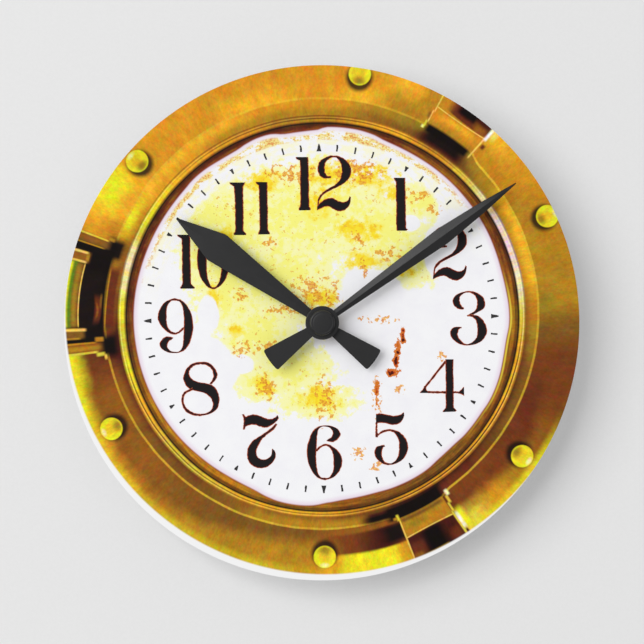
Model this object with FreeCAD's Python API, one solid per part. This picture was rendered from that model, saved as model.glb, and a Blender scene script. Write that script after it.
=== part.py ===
import FreeCAD, Part
import math
import os

from FreeCAD import Vector

# Round wall clock: a printed acrylic disc, two black hands and a quartz movement behind.
# The front faces -Y, the wall plane is Y = 0 and the origin is the centre of the hanging hole.
# Pieces are drawn round the hands' axis, with depth counted forward from the wall, and are
# lowered by hanger_drop when they are written. Lengths are in millimetres, angles in degrees.

os.makedirs("parts", exist_ok=True)

# Printed face
face_radius = 101.6
face_thickness = 4.6
face_edge_bevel = 0.3
film_thickness = 0.2
face_hole_clearance = 0.25

# Fits between the pieces
running_clearance = 0.05
end_play = 0.1
moving_gap = 0.3
cut_overrun = 1.0

# Battery, a round cell 50.5 long
battery_length = 50.5
battery_radius = 7.1
battery_positive_radius = 2.75
battery_positive_length = 1.2
battery_negative_radius = 6.2
battery_negative_length = 0.3
battery_edge_round = 0.5

# Battery contacts
contact_thickness = 0.3
contact_width = 2.2
contact_height = 10.4
contact_plate_depth = 10.0
contact_bow = 1.6

# Movement shell
case_wall = 1.2
case_corner_radius = 3.0
case_back_round = 0.8
cover_thickness = 1.2
partition_thickness = 1.0
partition_under_train = 2.087
lip_length = 9.0
lip_thickness = 0.8
lip_depth = 1.5
lip_clearance = 0.1

# Hanging loop
hanger_rise = 6.0
hanger_hole_radius = 3.0
hanger_thickness = 2.5
hanger_half_width = 7.0
hanger_foot_half_width = 10.0
hanger_foot_height = 3.0
hanger_fit = 0.05

# Clamp between the movement and the face
rubber_thickness = 1.0
rubber_radius = 12.0
bush_radius = 3.95
bush_bore_radius = 2.5
bush_flange_radius = 5.5
bush_flange_thickness = 0.8
bush_past_nut = 0.7
thread_pitch = 0.75
thread_depth = 0.3
washer_radius = 6.0
washer_thickness = 0.5
nut_across_flats = 11.0
nut_thickness = 2.0
nut_clearance = 0.05

# Wheels and pinions
wheel_thickness = 0.6
pinion_overlap = 0.3
train_module = 0.27
intermediate_module = 0.2
motion_module = 0.375
rotor_pinion_teeth = 10
intermediate_teeth = 60
intermediate_pinion_teeth = 10
seconds_teeth = 50
seconds_pinion_teeth = 8
third_teeth = 60
third_pinion_teeth = 8
centre_teeth = 64
cannon_teeth = 12
motion_teeth = 36
motion_pinion_teeth = 10
hour_teeth = 40
setting_teeth = 18

# Directions from one axis to the next, anticlockwise from +X as seen from the front
third_direction = 60.0
intermediate_direction = 140.0
rotor_direction = 195.0
motion_direction = -10.0
setting_direction = 25.0

# Arbors and their seats
pivot_radius = 0.5
collar_radius = 0.8
collar_length = 0.4
boss_radius = 1.2
pivot_depth = 1.4
pivot_end_gap = 0.2
minute_tube_radius = 1.5
hour_pipe_radius = 2.45
minute_flange_radius = 2.6
minute_flange_thickness = 0.4
clutch_spring_thickness = 0.15
clutch_spring_dish = 0.3
hour_hub_radius = 3.6

# Bridge and circuit board
bridge_thickness = 1.0
bridge_margin = 0.5
bridge_corner_radius = 1.5
pillar_radius = 1.5
stake_radius = 0.8
stake_proud = 0.3
board_thickness = 0.8
board_height = 9.0
board_margin = 0.2
board_over_train = 0.826
board_corner_radius = 2.0
board_post_spread = 13.0
chip_radius = 2.4
chip_thickness = 0.9
chip_round = 0.4
crystal_radius = 1.0
crystal_length = 6.0

# Stepping motor
coil_radius = 3.9
coil_length = 13.0
coil_tube_radius = 2.3
bobbin_flange_thickness = 1.0
bobbin_flange_overhang = 0.1
core_width = 3.0
core_thickness = 1.0
core_end_length = 2.5
core_pin_radius = 0.6
stator_thickness = 0.8
stator_ring_width = 1.4
stator_slot = 0.5
stator_coil_gap = 0.3
magnet_radius = 1.7
magnet_length = 1.8
magnet_seat_radius = 0.7
magnet_air_gap = 0.4

# Setting knob
knob_radius = 6.0
knob_thickness = 3.0
knob_recess = 0.6
knob_flutes = 24
knob_flute_radius = 0.45
knob_well_gap = 0.6
knob_well_wall = 1.0
setting_shaft_radius = 1.5
setting_pivot_radius = 0.8
setting_pinion_length = 1.0

# Hands
hub_radius = 6.6
hand_thickness = 1.0
hand_edge_thickness = 0.5
hub_thickness = 1.2
hour_hand_collar_radius = 3.4
hour_tip_reach = 70.3
hour_shoulder_reach = 50.9
hour_shoulder_half_width = 6.2
hour_root_half_width = 1.8
minute_tip_reach = 93.5
minute_widest_reach = 58.0
minute_taper_reach = 78.0
minute_widest_half_width = 3.5
minute_taper_half_width = 2.0
minute_root_half_width = 1.45
tip_half_width = 0.25
tail_reach = 25.4
tail_root_half_width = 2.1
tail_end_half_width = 4.75
tail_corner_round = 0.8
hand_spacing = 1.2
minute_collar_radius = 3.0
cap_radius = 4.9
cap_thickness = 2.6
cap_front_thickness = 0.7
cap_round = 0.6
arbor_end_gap = 0.3

# Rest pose of the hands, clockwise from 12
minute_angle = 54.2
hour_angle = 305.6

# Shell sizes that follow the battery
bay_length = battery_length + battery_positive_length + contact_bow + moving_gap
case_width = bay_length + 2 * case_wall
cover_rear = 2 * battery_radius + 2 * moving_gap
case_depth = cover_rear + cover_thickness
inner_half_width = case_width / 2 - case_wall
inner_corner_radius = case_corner_radius - case_wall
battery_depth = moving_gap + battery_radius
battery_right = inner_half_width - contact_thickness - moving_gap
battery_left = battery_right - battery_length

# Rear faces of the layers, as shares of the depth inside the shell
inner_depth = cover_rear - case_wall
intermediate_rear_share = 0.22
seconds_rear_share = 0.338
third_rear_share = 0.456
centre_rear_share = 0.574
bridge_rear_share = 0.669
motion_rear_share = 0.772
hour_rear_share = 0.868
core_rear_share = 0.309
board_rear_share = 0.353
intermediate_rear = case_wall + intermediate_rear_share * inner_depth
seconds_rear = case_wall + seconds_rear_share * inner_depth
third_rear = case_wall + third_rear_share * inner_depth
centre_rear = case_wall + centre_rear_share * inner_depth
bridge_rear = case_wall + bridge_rear_share * inner_depth
motion_rear = case_wall + motion_rear_share * inner_depth
hour_rear = case_wall + hour_rear_share * inner_depth
core_rear = case_wall + core_rear_share * inner_depth
board_rear = case_wall + board_rear_share * inner_depth
bridge_front = bridge_rear + bridge_thickness
core_front = core_rear + core_thickness
stator_front = core_front + stator_thickness
board_front = board_rear + board_thickness

# Tooth outlines as shares of the module: height over the pitch circle, half thickness
wheel_tooth_shares = ((-1.6, 0.74), (0.0, 0.70), (0.7, 0.50), (1.2, 0.22))
pinion_tooth_shares = ((-1.7, 0.50), (0.0, 0.50), (0.35, 0.42), (0.62, 0.20))
wheel_tip_share = wheel_tooth_shares[-1][0]

# Centre distances: the third wheel's two meshes share one, and the intermediate wheel's
# arbor just clears the rim of the centre wheel
third_distance = train_module * (third_teeth + seconds_pinion_teeth) / 2
centre_module = 2 * third_distance / (centre_teeth + third_pinion_teeth)
centre_wheel_reach = centre_module * (centre_teeth / 2 + wheel_tip_share)
intermediate_distance = centre_wheel_reach + pivot_radius + 1.6 * moving_gap
seconds_module = 2 * intermediate_distance / (seconds_teeth + intermediate_pinion_teeth)
rotor_distance = intermediate_module * (intermediate_teeth + rotor_pinion_teeth) / 2
motion_distance = motion_module * (motion_teeth + cannon_teeth) / 2
hour_module = 2 * motion_distance / (hour_teeth + motion_pinion_teeth)
setting_distance = motion_module * (motion_teeth + setting_teeth) / 2


def stepped(start, direction, distance):
    """Point (x, z) at a distance from another, in a direction given in degrees."""
    angle = math.radians(direction)
    return (start[0] + distance * math.cos(angle), start[1] + distance * math.sin(angle))


# Axes (x, z) of the wheels, with the hands' axis at the centre
hands_axis = (0.0, 0.0)
third_axis = stepped(hands_axis, third_direction, third_distance)
intermediate_axis = stepped(hands_axis, intermediate_direction, intermediate_distance)
rotor_axis = stepped(intermediate_axis, rotor_direction, rotor_distance)
motion_axis = stepped(hands_axis, motion_direction, motion_distance)
setting_axis = stepped(motion_axis, setting_direction, setting_distance)

# Heights from the hands' axis: the circuit board lies above the third wheel, the battery
# bay below the motion wheel, and the loop above the shell
third_wheel_reach = train_module * (third_teeth / 2 + wheel_tip_share)
motion_wheel_reach = motion_module * (motion_teeth / 2 + wheel_tip_share)
board_bottom = third_axis[1] + third_wheel_reach + board_over_train
board_top = board_bottom + board_height
inner_high = board_top + 3 * board_margin
case_high = inner_high + case_wall
hanger_drop = case_high + hanger_rise
partition_top = motion_axis[1] - motion_wheel_reach - partition_under_train
bay_roof = partition_top - partition_thickness
bay_floor = bay_roof - 2 * battery_radius - 2.5 * moving_gap
case_low = bay_floor - case_wall
battery_z = (bay_floor + bay_roof) / 2

# Depths of the stack in front of the shell
face_rear = case_depth + rubber_thickness
face_front = face_rear + face_thickness
film_front = face_front + film_thickness
nut_rear = film_front + washer_thickness
nut_front = nut_rear + nut_thickness
bush_front = nut_front + bush_past_nut
hour_hand_rear = bush_front + moving_gap
hour_hand_front = hour_hand_rear + hub_thickness
hour_pipe_front = hour_hand_front + moving_gap
minute_hand_rear = hour_pipe_front + moving_gap + hand_spacing / 2
minute_hand_front = minute_hand_rear + hub_thickness
cap_front = minute_hand_front + cap_thickness
minute_tube_front = cap_front - cap_front_thickness
seconds_arbor_front = minute_tube_front - arbor_end_gap
bush_flange_rear = cover_rear - bush_flange_thickness
face_hole_radius = bush_radius + face_hole_clearance

# Bores that follow their shafts
pivot_hole_radius = pivot_radius + running_clearance
minute_bore_radius = pivot_radius + running_clearance
hour_bore_radius = minute_tube_radius + running_clearance
setting_hole_radius = setting_shaft_radius + running_clearance
nut_bore_radius = bush_radius + nut_clearance

# Circuit board and pillars
board_half_width = inner_half_width - board_margin
bridge_top = board_bottom - bridge_margin
bridge_bottom = partition_top + moving_gap
bridge_half_width = inner_half_width - contact_thickness - bridge_margin
pillar_inset = pillar_radius + bridge_margin
pillar_low_z = bridge_bottom + pillar_radius
pillar_high_z = bridge_top - pillar_radius
left_pillar_high_x_share = -0.26
pillar_points = (
    (-bridge_half_width + pillar_inset, pillar_low_z),
    (bridge_half_width - pillar_inset, pillar_low_z),
    (left_pillar_high_x_share * bridge_half_width, pillar_high_z),
    (bridge_half_width - pillar_inset, pillar_high_z),
)
board_post_z = board_top - board_height / 4
board_posts = ((-board_post_spread, board_post_z), (board_post_spread, board_post_z))

# Motor places: the coil stands beside the rotor, with the stator between them
stator_hole_radius = magnet_radius + magnet_air_gap
stator_half_width = stator_hole_radius + stator_ring_width
bobbin_half_width = coil_radius + bobbin_flange_overhang
coil_x = rotor_axis[0] - stator_half_width - stator_coil_gap - bobbin_half_width
bobbin_half_length = coil_length / 2 + bobbin_flange_thickness
core_half_length = bobbin_half_length + core_end_length
coil_depth = core_rear + core_thickness / 2
core_pin_offset = bobbin_half_length + core_end_length / 2
core_pins = (
    (coil_x, rotor_axis[1] + core_pin_offset),
    (coil_x, rotor_axis[1] - core_pin_offset),
)

# Knob places
knob_front = knob_recess + knob_thickness
well_radius = knob_radius + knob_well_gap
well_floor_rear = knob_front + 2 * end_play
well_floor_front = well_floor_rear + knob_well_wall
setting_pinion_rear = bridge_front + moving_gap
setting_pinion_front = setting_pinion_rear + setting_pinion_length
setting_shaft_front = setting_pinion_front + moving_gap
setting_boss_rear = setting_shaft_front + moving_gap
setting_pivot_front = setting_boss_rear + cover_thickness - end_play

# Fronts of the case's pivot bosses
intermediate_boss_front = intermediate_rear - collar_length - 2 * end_play
rotor_pinion_rear = intermediate_rear - pinion_overlap
rotor_pinion_front = intermediate_rear + wheel_thickness + pinion_overlap
rotor_boss_front = rotor_pinion_rear - collar_length - end_play
seconds_boss_front = seconds_rear - pinion_overlap - collar_length - end_play
third_boss_front = seconds_rear - collar_length - moving_gap - end_play


def tube(axis, rear, front, outer, inner=0.0):
    """Round bar or ring along the depth, from its rear face to its front face."""
    x, z = axis
    start = Vector(x, -front, z)
    forward = Vector(0, 1, 0)
    shape = Part.makeCylinder(outer, front - rear, start, forward)
    if inner:
        shape = shape.cut(Part.makeCylinder(inner, front - rear, start, forward))
    return shape


def block(x_low, x_high, rear, front, z_low, z_high):
    """Rectangular block between two depths."""
    corner = Vector(x_low, -front, z_low)
    return Part.makeBox(x_high - x_low, front - rear, z_high - z_low, corner)


def rounded_block(x_low, x_high, rear, front, z_low, z_high, corner_radius):
    """Block whose four edges along the depth are rounded."""
    shape = block(x_low, x_high, rear, front, z_low, z_high)
    edges = [edge for edge in shape.Edges if abs(edge.tangentAt(edge.FirstParameter).y) > 0.9]
    return shape.makeFillet(corner_radius, edges)


def revolved(profile, axis=hands_axis):
    """Ring turned round the depth direction from (radius, depth) points."""
    points = [Vector(radius, -depth, 0) for radius, depth in profile]
    face = Part.Face(Part.makePolygon(points + points[:1]))
    shape = face.revolve(Vector(0, 0, 0), Vector(0, 1, 0), 360)
    shape.translate(Vector(axis[0], 0, axis[1]))
    return shape


def joined(shapes):
    """One solid from touching or crossing ones."""
    return shapes[0].multiFuse(shapes[1:]).removeSplitter()


def gear(axis, rear, front, teeth, module, tooth_shares, phase):
    """Toothed disc with straight-sided teeth; phase is the first tooth's angle in radians."""
    pitch_radius = teeth * module / 2
    points = []
    for index in range(teeth):
        angle = phase + 2 * math.pi * index / teeth
        along = (math.cos(angle), math.sin(angle))
        sides = [(height, -half) for height, half in tooth_shares]
        sides += [(height, half) for height, half in reversed(tooth_shares)]
        for height, half in sides:
            reach = pitch_radius + height * module
            offset = half * module
            x = axis[0] + reach * along[0] - offset * along[1]
            z = axis[1] + reach * along[1] + offset * along[0]
            points.append(Vector(x, -rear, z))
    face = Part.Face(Part.makePolygon(points + points[:1]))
    return face.extrude(Vector(0, rear - front, 0))


def wheel(axis, rear, teeth, module, phase):
    """Thin wheel of one wheel thickness."""
    front = rear + wheel_thickness
    return gear(axis, rear, front, teeth, module, wheel_tooth_shares, phase)


def pinion(axis, rear, front, teeth, module, phase):
    """Small pinion with slim teeth."""
    return gear(axis, rear, front, teeth, module, pinion_tooth_shares, phase)


def meshing_phase(driver_phase, driver_teeth, driven_teeth, direction):
    """Phase that sets a gap of the driven gear against a tooth of the driver."""
    turned = (driver_phase - direction) * driver_teeth / driven_teeth
    return direction + math.pi + math.pi / driven_teeth - turned


def save(name, shape):
    """Write one node, lowered so that the hanging hole is the origin."""
    placed = shape.copy()
    placed.translate(Vector(0, 0, -hanger_drop))
    placed.exportStep("parts/" + name + ".step")


# Phases of every gear at rest, each set in mesh with the one that drives it
toward_third = math.radians(third_direction)
toward_intermediate = math.radians(intermediate_direction)
toward_rotor = math.radians(rotor_direction)
toward_motion = math.radians(motion_direction)
toward_setting = math.radians(setting_direction)
third_phase = meshing_phase(0.0, seconds_pinion_teeth, third_teeth, toward_third)
centre_phase = meshing_phase(0.0, third_pinion_teeth, centre_teeth, toward_third + math.pi)
intermediate_pinion_phase = meshing_phase(
    0.0, seconds_teeth, intermediate_pinion_teeth, toward_intermediate)
rotor_phase = meshing_phase(0.0, intermediate_teeth, rotor_pinion_teeth, toward_rotor)
motion_phase = meshing_phase(0.0, cannon_teeth, motion_teeth, toward_motion)
hour_phase = meshing_phase(0.0, motion_pinion_teeth, hour_teeth, toward_motion + math.pi)
setting_phase = meshing_phase(motion_phase, motion_teeth, setting_teeth, toward_setting)


def make_face_disc():
    """Acrylic disc with both edges eased and a hole for the threaded bush."""
    disc = tube(hands_axis, face_rear, face_front, face_radius, face_hole_radius)
    middle = (face_radius + face_hole_radius) / 2
    rims = [edge for edge in disc.Edges
            if hasattr(edge.Curve, "Radius") and edge.Curve.Radius > middle]
    return disc.makeChamfer(face_edge_bevel, rims)


def make_printed_film():
    """Print layer that ends where the front edge is eased."""
    radius = face_radius - face_edge_bevel
    return tube(hands_axis, face_front, film_front, radius, face_hole_radius)


def make_rubber_washer():
    """Soft ring between the movement and the disc."""
    return tube(hands_axis, case_depth, face_rear, rubber_radius, face_hole_radius)


def make_dial_washer():
    """Flat ring under the nut."""
    return tube(hands_axis, film_front, nut_rear, washer_radius, face_hole_radius)


def make_hex_nut():
    """Hexagonal nut with its corners turned off."""
    corner_radius = nut_across_flats / math.sqrt(3)
    points = []
    for index in range(6):
        angle = math.pi * index / 3
        points.append(Vector(corner_radius * math.cos(angle), -nut_rear,
                             corner_radius * math.sin(angle)))
    face = Part.Face(Part.makePolygon(points + points[:1]))
    prism = face.extrude(Vector(0, nut_rear - nut_front, 0))
    turned_radius = (corner_radius + nut_across_flats / 2) / 2
    bevel = corner_radius - turned_radius
    turned = revolved((
        (0, nut_rear), (turned_radius, nut_rear), (corner_radius, nut_rear + bevel),
        (corner_radius, nut_front - bevel), (turned_radius, nut_front), (0, nut_front)))
    bore = tube(hands_axis, nut_rear - cut_overrun, nut_front + cut_overrun, nut_bore_radius)
    return prism.common(turned).cut(bore)


def make_threaded_bush():
    """Flanged bush; its thread is a row of ridges, one per pitch."""
    profile = [
        (bush_bore_radius, bush_flange_rear),
        (bush_flange_radius, bush_flange_rear),
        (bush_flange_radius, cover_rear),
        (bush_radius, cover_rear),
    ]
    thread_length = bush_front - case_depth
    ridge_count = int(thread_length / thread_pitch)
    root_radius = bush_radius - thread_depth
    for index in range(ridge_count):
        start = case_depth + index * thread_pitch
        profile.append((bush_radius, start))
        profile.append((root_radius, start + thread_pitch / 2))
    profile.append((bush_radius, case_depth + ridge_count * thread_pitch))
    profile.append((root_radius, bush_front))
    profile.append((bush_bore_radius, bush_front))
    return revolved(profile)


def contact_slot(side):
    """Slot in the partition for one contact's tail; side is 1 right or -1 left."""
    outer = side * (inner_half_width + lip_clearance)
    inner = side * (inner_half_width - contact_thickness - lip_clearance)
    rear = board_front - lip_clearance
    front = board_front + contact_width + lip_clearance
    reach = inner_corner_radius + lip_clearance
    return block(min(outer, inner), max(outer, inner), rear, front,
                 bay_roof - reach, partition_top + reach)


def pivot_boss(axis, boss_front):
    """Boss on the case floor for a rear pivot."""
    return tube(axis, case_wall / 2, boss_front, boss_radius)


def pivot_hole(axis, boss_front):
    """Blind hole for a rear pivot."""
    return tube(axis, boss_front - pivot_depth, boss_front + cut_overrun, pivot_hole_radius)


def make_movement_case():
    """Rear shell: train chamber above, open battery bay below, knob well on the right."""
    half_width = case_width / 2
    shell = rounded_block(-half_width, half_width, 0, cover_rear, case_low, case_high,
                          case_corner_radius)
    back_edges = [edge for edge in shell.Edges
                  if abs(edge.BoundBox.YMax) < running_clearance
                  and abs(edge.BoundBox.YMin) < running_clearance]
    shell = shell.makeFillet(case_back_round, back_edges)
    chamber = rounded_block(-inner_half_width, inner_half_width, case_wall,
                            cover_rear + cut_overrun, partition_top, inner_high,
                            inner_corner_radius)
    bay = rounded_block(-inner_half_width, inner_half_width, -cut_overrun,
                        cover_rear + cut_overrun, bay_floor, bay_roof, inner_corner_radius)
    hanger_slot = block(-hanger_half_width - hanger_fit, hanger_half_width + hanger_fit,
                        -cut_overrun, hanger_thickness + hanger_fit,
                        inner_high - cut_overrun, case_high + cut_overrun)
    shell = shell.cut(Part.makeCompound([chamber, bay]))
    bosses = [
        pivot_boss(hands_axis, seconds_boss_front),
        pivot_boss(third_axis, third_boss_front),
        pivot_boss(intermediate_axis, intermediate_boss_front),
        pivot_boss(rotor_axis, rotor_boss_front),
        tube(setting_axis, case_wall / 2, well_floor_front, well_radius + knob_well_wall),
    ]
    for point in pillar_points:
        bosses.append(tube(point, case_wall / 2, bridge_rear, pillar_radius))
        bosses.append(tube(point, bridge_rear, bridge_front + stake_proud, stake_radius))
    for point in board_posts:
        bosses.append(tube(point, case_wall / 2, board_rear, boss_radius))
        bosses.append(tube(point, board_rear, board_front + stake_proud, stake_radius))
    for point in core_pins:
        bosses.append(tube(point, case_wall / 2, core_rear, boss_radius))
        bosses.append(tube(point, core_rear, stator_front + stake_proud, core_pin_radius))
    shell = joined([shell] + bosses)
    cuts = [
        pivot_hole(hands_axis, seconds_boss_front),
        pivot_hole(third_axis, third_boss_front),
        pivot_hole(intermediate_axis, intermediate_boss_front),
        pivot_hole(rotor_axis, rotor_boss_front),
        tube(setting_axis, -cut_overrun, well_floor_rear, well_radius),
        tube(setting_axis, 0, well_floor_front + cut_overrun, setting_hole_radius),
        contact_slot(1),
        contact_slot(-1),
        hanger_slot,
    ]
    for cutter in cuts:
        shell = shell.cut(cutter)
    return shell


def make_front_cover():
    """Front plate with seats for the motion pin and the setting shaft, and locating lips."""
    half_width = case_width / 2
    plate = rounded_block(-half_width, half_width, cover_rear, case_depth,
                          case_low, case_high, case_corner_radius)
    seat_rear = cover_rear - bush_flange_thickness
    solids = [
        plate,
        tube(motion_axis, seat_rear, case_depth, boss_radius),
        tube(setting_axis, setting_boss_rear, case_depth, boss_radius + pivot_radius),
    ]
    lip_rear = cover_rear - lip_depth
    lip_outer = inner_half_width - lip_clearance
    lip_inner = lip_outer - lip_thickness
    lip_middle = (partition_top + board_bottom) / 2
    side_low = lip_middle - lip_length / 2
    side_high = lip_middle + lip_length / 2
    solids.append(block(lip_inner, lip_outer, lip_rear, case_depth, side_low, side_high))
    solids.append(block(-lip_outer, -lip_inner, lip_rear, case_depth, side_low, side_high))
    top_high = inner_high - lip_clearance
    top_low = top_high - lip_thickness
    for middle in (-board_post_spread, board_post_spread):
        solids.append(block(middle - lip_length / 2, middle + lip_length / 2,
                            lip_rear, case_depth, top_low, top_high))
    cover = joined(solids)
    pin_front = cover_rear + cover_thickness / 4
    cover = cover.cut(tube(motion_axis, seat_rear - cut_overrun, pin_front, pivot_radius))
    cover = cover.cut(tube(setting_axis, setting_boss_rear - cut_overrun,
                           setting_pivot_front + end_play,
                           setting_pivot_radius + running_clearance))
    bush_hole = tube(hands_axis, cover_rear - cut_overrun, case_depth + cut_overrun, bush_radius)
    return cover.cut(bush_hole)


def make_hanger_tab():
    """Loop with a round hole; its foot is held inside the shell behind the top wall."""
    neck_top = hanger_drop + hanger_half_width
    foot_top = inner_high - hanger_fit
    foot_bottom = foot_top - hanger_foot_height
    neck = block(-hanger_half_width, hanger_half_width, 0, hanger_thickness,
                 foot_top, hanger_drop)
    crown = tube((0.0, hanger_drop), 0, hanger_thickness, hanger_half_width)
    foot = block(-hanger_foot_half_width, hanger_foot_half_width, case_wall + hanger_fit,
                 hanger_thickness, foot_bottom, foot_top)
    bridge_piece = block(-hanger_half_width, hanger_half_width, case_wall + hanger_fit,
                         hanger_thickness, foot_top - hanger_foot_height / 2,
                         (foot_top + neck_top) / 2)
    tab = joined([neck, crown, foot, bridge_piece])
    hole = tube((0.0, hanger_drop), -cut_overrun, hanger_thickness + cut_overrun,
                hanger_hole_radius)
    return tab.cut(hole)


def make_train_bridge():
    """Plate on four stakes that holds the front pivots and the motion pin."""
    plate = rounded_block(-bridge_half_width, bridge_half_width, bridge_rear, bridge_front,
                          bridge_bottom, bridge_top, bridge_corner_radius)
    holes = [
        (hands_axis, minute_tube_radius + running_clearance),
        (third_axis, pivot_hole_radius),
        (intermediate_axis, pivot_hole_radius),
        (rotor_axis, pivot_hole_radius),
        (setting_axis, setting_hole_radius),
        (motion_axis, pivot_radius),
    ]
    holes += [(point, stake_radius) for point in pillar_points]
    for axis, radius in holes:
        plate = plate.cut(tube(axis, bridge_rear - cut_overrun, bridge_front + cut_overrun,
                               radius))
    return plate


def make_motion_pin():
    """Fixed pin for the motion wheel, from the bridge to the cover."""
    return tube(motion_axis, bridge_rear, cover_rear + cover_thickness / 4, pivot_radius)


def make_circuit_board():
    """Narrow board across the top of the chamber."""
    board = rounded_block(-board_half_width, board_half_width, board_rear, board_front,
                          board_bottom, board_top, board_corner_radius)
    for point in board_posts:
        board = board.cut(tube(point, board_rear - cut_overrun, board_front + cut_overrun,
                               stake_radius))
    return board


def make_clock_chip():
    """Round resin blob over the chip."""
    centre = (board_half_width - 3 * chip_radius, (board_bottom + board_post_z) / 2)
    blob = tube(centre, board_front, board_front + chip_thickness, chip_radius)
    rims = [edge for edge in blob.Edges
            if abs(edge.BoundBox.YMin + board_front + chip_thickness) < running_clearance
            and edge.BoundBox.YLength < running_clearance]
    return blob.makeFillet(chip_round, rims)


def make_quartz_crystal():
    """Small round can lying on the board."""
    start = Vector(-board_half_width + crystal_length, -board_front - crystal_radius,
                   board_bottom + 2 * crystal_radius)
    return Part.makeCylinder(crystal_radius, crystal_length, start, Vector(1, 0, 0))


def upright(radius, length, middle_z):
    """Round bar along Z on the coil's axis."""
    start = Vector(coil_x, -coil_depth, middle_z - length / 2)
    return Part.makeCylinder(radius, length, start, Vector(0, 0, 1))


def core_block(half_length):
    """Flat bar of the core's section along the coil's axis."""
    return block(coil_x - core_width / 2, coil_x + core_width / 2, core_rear, core_front,
                 rotor_axis[1] - half_length, rotor_axis[1] + half_length)


def make_coil_bobbin():
    """Spool with square flanges and a flat hole for the core."""
    solids = [upright(coil_tube_radius, coil_length, rotor_axis[1])]
    for side in (-1, 1):
        near = rotor_axis[1] + side * coil_length / 2
        far = rotor_axis[1] + side * bobbin_half_length
        solids.append(block(coil_x - bobbin_half_width, coil_x + bobbin_half_width,
                            coil_depth - bobbin_half_width, coil_depth + bobbin_half_width,
                            min(near, far), max(near, far)))
    return joined(solids).cut(core_block(core_half_length))


def make_coil_winding():
    """Wound wire between the flanges."""
    outer = upright(coil_radius, coil_length, rotor_axis[1])
    return outer.cut(upright(coil_tube_radius, coil_length, rotor_axis[1]))


def make_coil_core():
    """Flat bar through the coil, pinned at both ends."""
    core = core_block(core_half_length)
    for point in core_pins:
        core = core.cut(tube(point, core_rear - cut_overrun, core_front + cut_overrun,
                             core_pin_radius))
    return core


def make_stator():
    """Two L-shaped plates that lead the flux from the core's ends round the rotor."""
    right = rotor_axis[0] + stator_half_width
    left = rotor_axis[0] - stator_half_width
    plates = []
    for side in (-1, 1):
        inner_z = rotor_axis[1] + side * bobbin_half_length + side * stator_coil_gap
        outer_z = rotor_axis[1] + side * core_half_length
        gap_z = rotor_axis[1] + side * stator_slot / 2
        arm = block(coil_x - core_width / 2, right, core_front, stator_front,
                    min(inner_z, outer_z), max(inner_z, outer_z))
        leg = block(left, right, core_front, stator_front,
                    min(gap_z, outer_z), max(gap_z, outer_z))
        plate = joined([arm, leg])
        plate = plate.cut(tube(rotor_axis, core_front - cut_overrun, stator_front + cut_overrun,
                               stator_hole_radius))
        for point in core_pins:
            plate = plate.cut(tube(point, core_front - cut_overrun, stator_front + cut_overrun,
                                   core_pin_radius))
        plates.append(plate)
    return Part.makeCompound(plates)


def contact_tail(side):
    """Strip from the bay up to the board, on the right (1) or left (-1) wall."""
    outer = side * inner_half_width
    inner = side * (inner_half_width - contact_thickness)
    return block(min(outer, inner), max(outer, inner), board_front,
                 board_front + contact_width, battery_z, board_bottom + contact_width)


def contact_plate(side):
    """Plate behind one end of the battery."""
    outer = side * inner_half_width
    inner = side * (inner_half_width - contact_thickness)
    return block(min(outer, inner), max(outer, inner),
                 battery_depth - contact_plate_depth / 2, battery_depth + contact_plate_depth / 2,
                 battery_z - contact_height / 2, battery_z + contact_height / 2)


def make_contact_positive():
    """Flat contact at the right end of the bay."""
    return joined([contact_plate(1), contact_tail(1)])


def make_contact_negative():
    """Contact at the left end of the bay with a bowed leaf that presses on the battery."""
    plate_x = -inner_half_width + contact_thickness
    crest_x = battery_left - moving_gap
    low_z = battery_z - contact_height / 2
    high_z = battery_z + contact_height / 2
    depth = -battery_depth - contact_width
    outer = Part.Arc(Vector(plate_x, depth, low_z), Vector(crest_x, depth, battery_z),
                     Vector(plate_x, depth, high_z)).toShape()
    inner = Part.Arc(Vector(plate_x, depth, high_z - contact_thickness),
                     Vector(crest_x - contact_thickness, depth, battery_z),
                     Vector(plate_x, depth, low_z + contact_thickness)).toShape()
    top = Part.makeLine(Vector(plate_x, depth, high_z),
                        Vector(plate_x, depth, high_z - contact_thickness))
    bottom = Part.makeLine(Vector(plate_x, depth, low_z + contact_thickness),
                           Vector(plate_x, depth, low_z))
    leaf = Part.Face(Part.Wire([outer, top, inner, bottom])).extrude(
        Vector(0, 2 * contact_width, 0))
    return joined([contact_plate(-1), contact_tail(-1), leaf])


def battery_bar(x_low, x_high, radius):
    """Round bar along X on the battery's axis."""
    start = Vector(x_low, -battery_depth, battery_z)
    return Part.makeCylinder(radius, x_high - x_low, start, Vector(1, 0, 0))


def make_battery_cell():
    """Sleeved can with both rims rounded."""
    can = battery_bar(battery_left + battery_negative_length,
                      battery_right - battery_positive_length, battery_radius)
    rims = [edge for edge in can.Edges if hasattr(edge.Curve, "Radius")]
    return can.makeFillet(battery_edge_round, rims)


def make_battery_positive_cap():
    """Button at the right end."""
    cap = battery_bar(battery_right - battery_positive_length, battery_right,
                      battery_positive_radius)
    rims = [edge for edge in cap.Edges
            if hasattr(edge.Curve, "Radius")
            and edge.BoundBox.XMin > battery_right - battery_positive_length / 2]
    return cap.makeFillet(battery_edge_round, rims)


def make_battery_negative_cap():
    """Flat disc at the left end."""
    return battery_bar(battery_left, battery_left + battery_negative_length,
                       battery_negative_radius)


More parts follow.
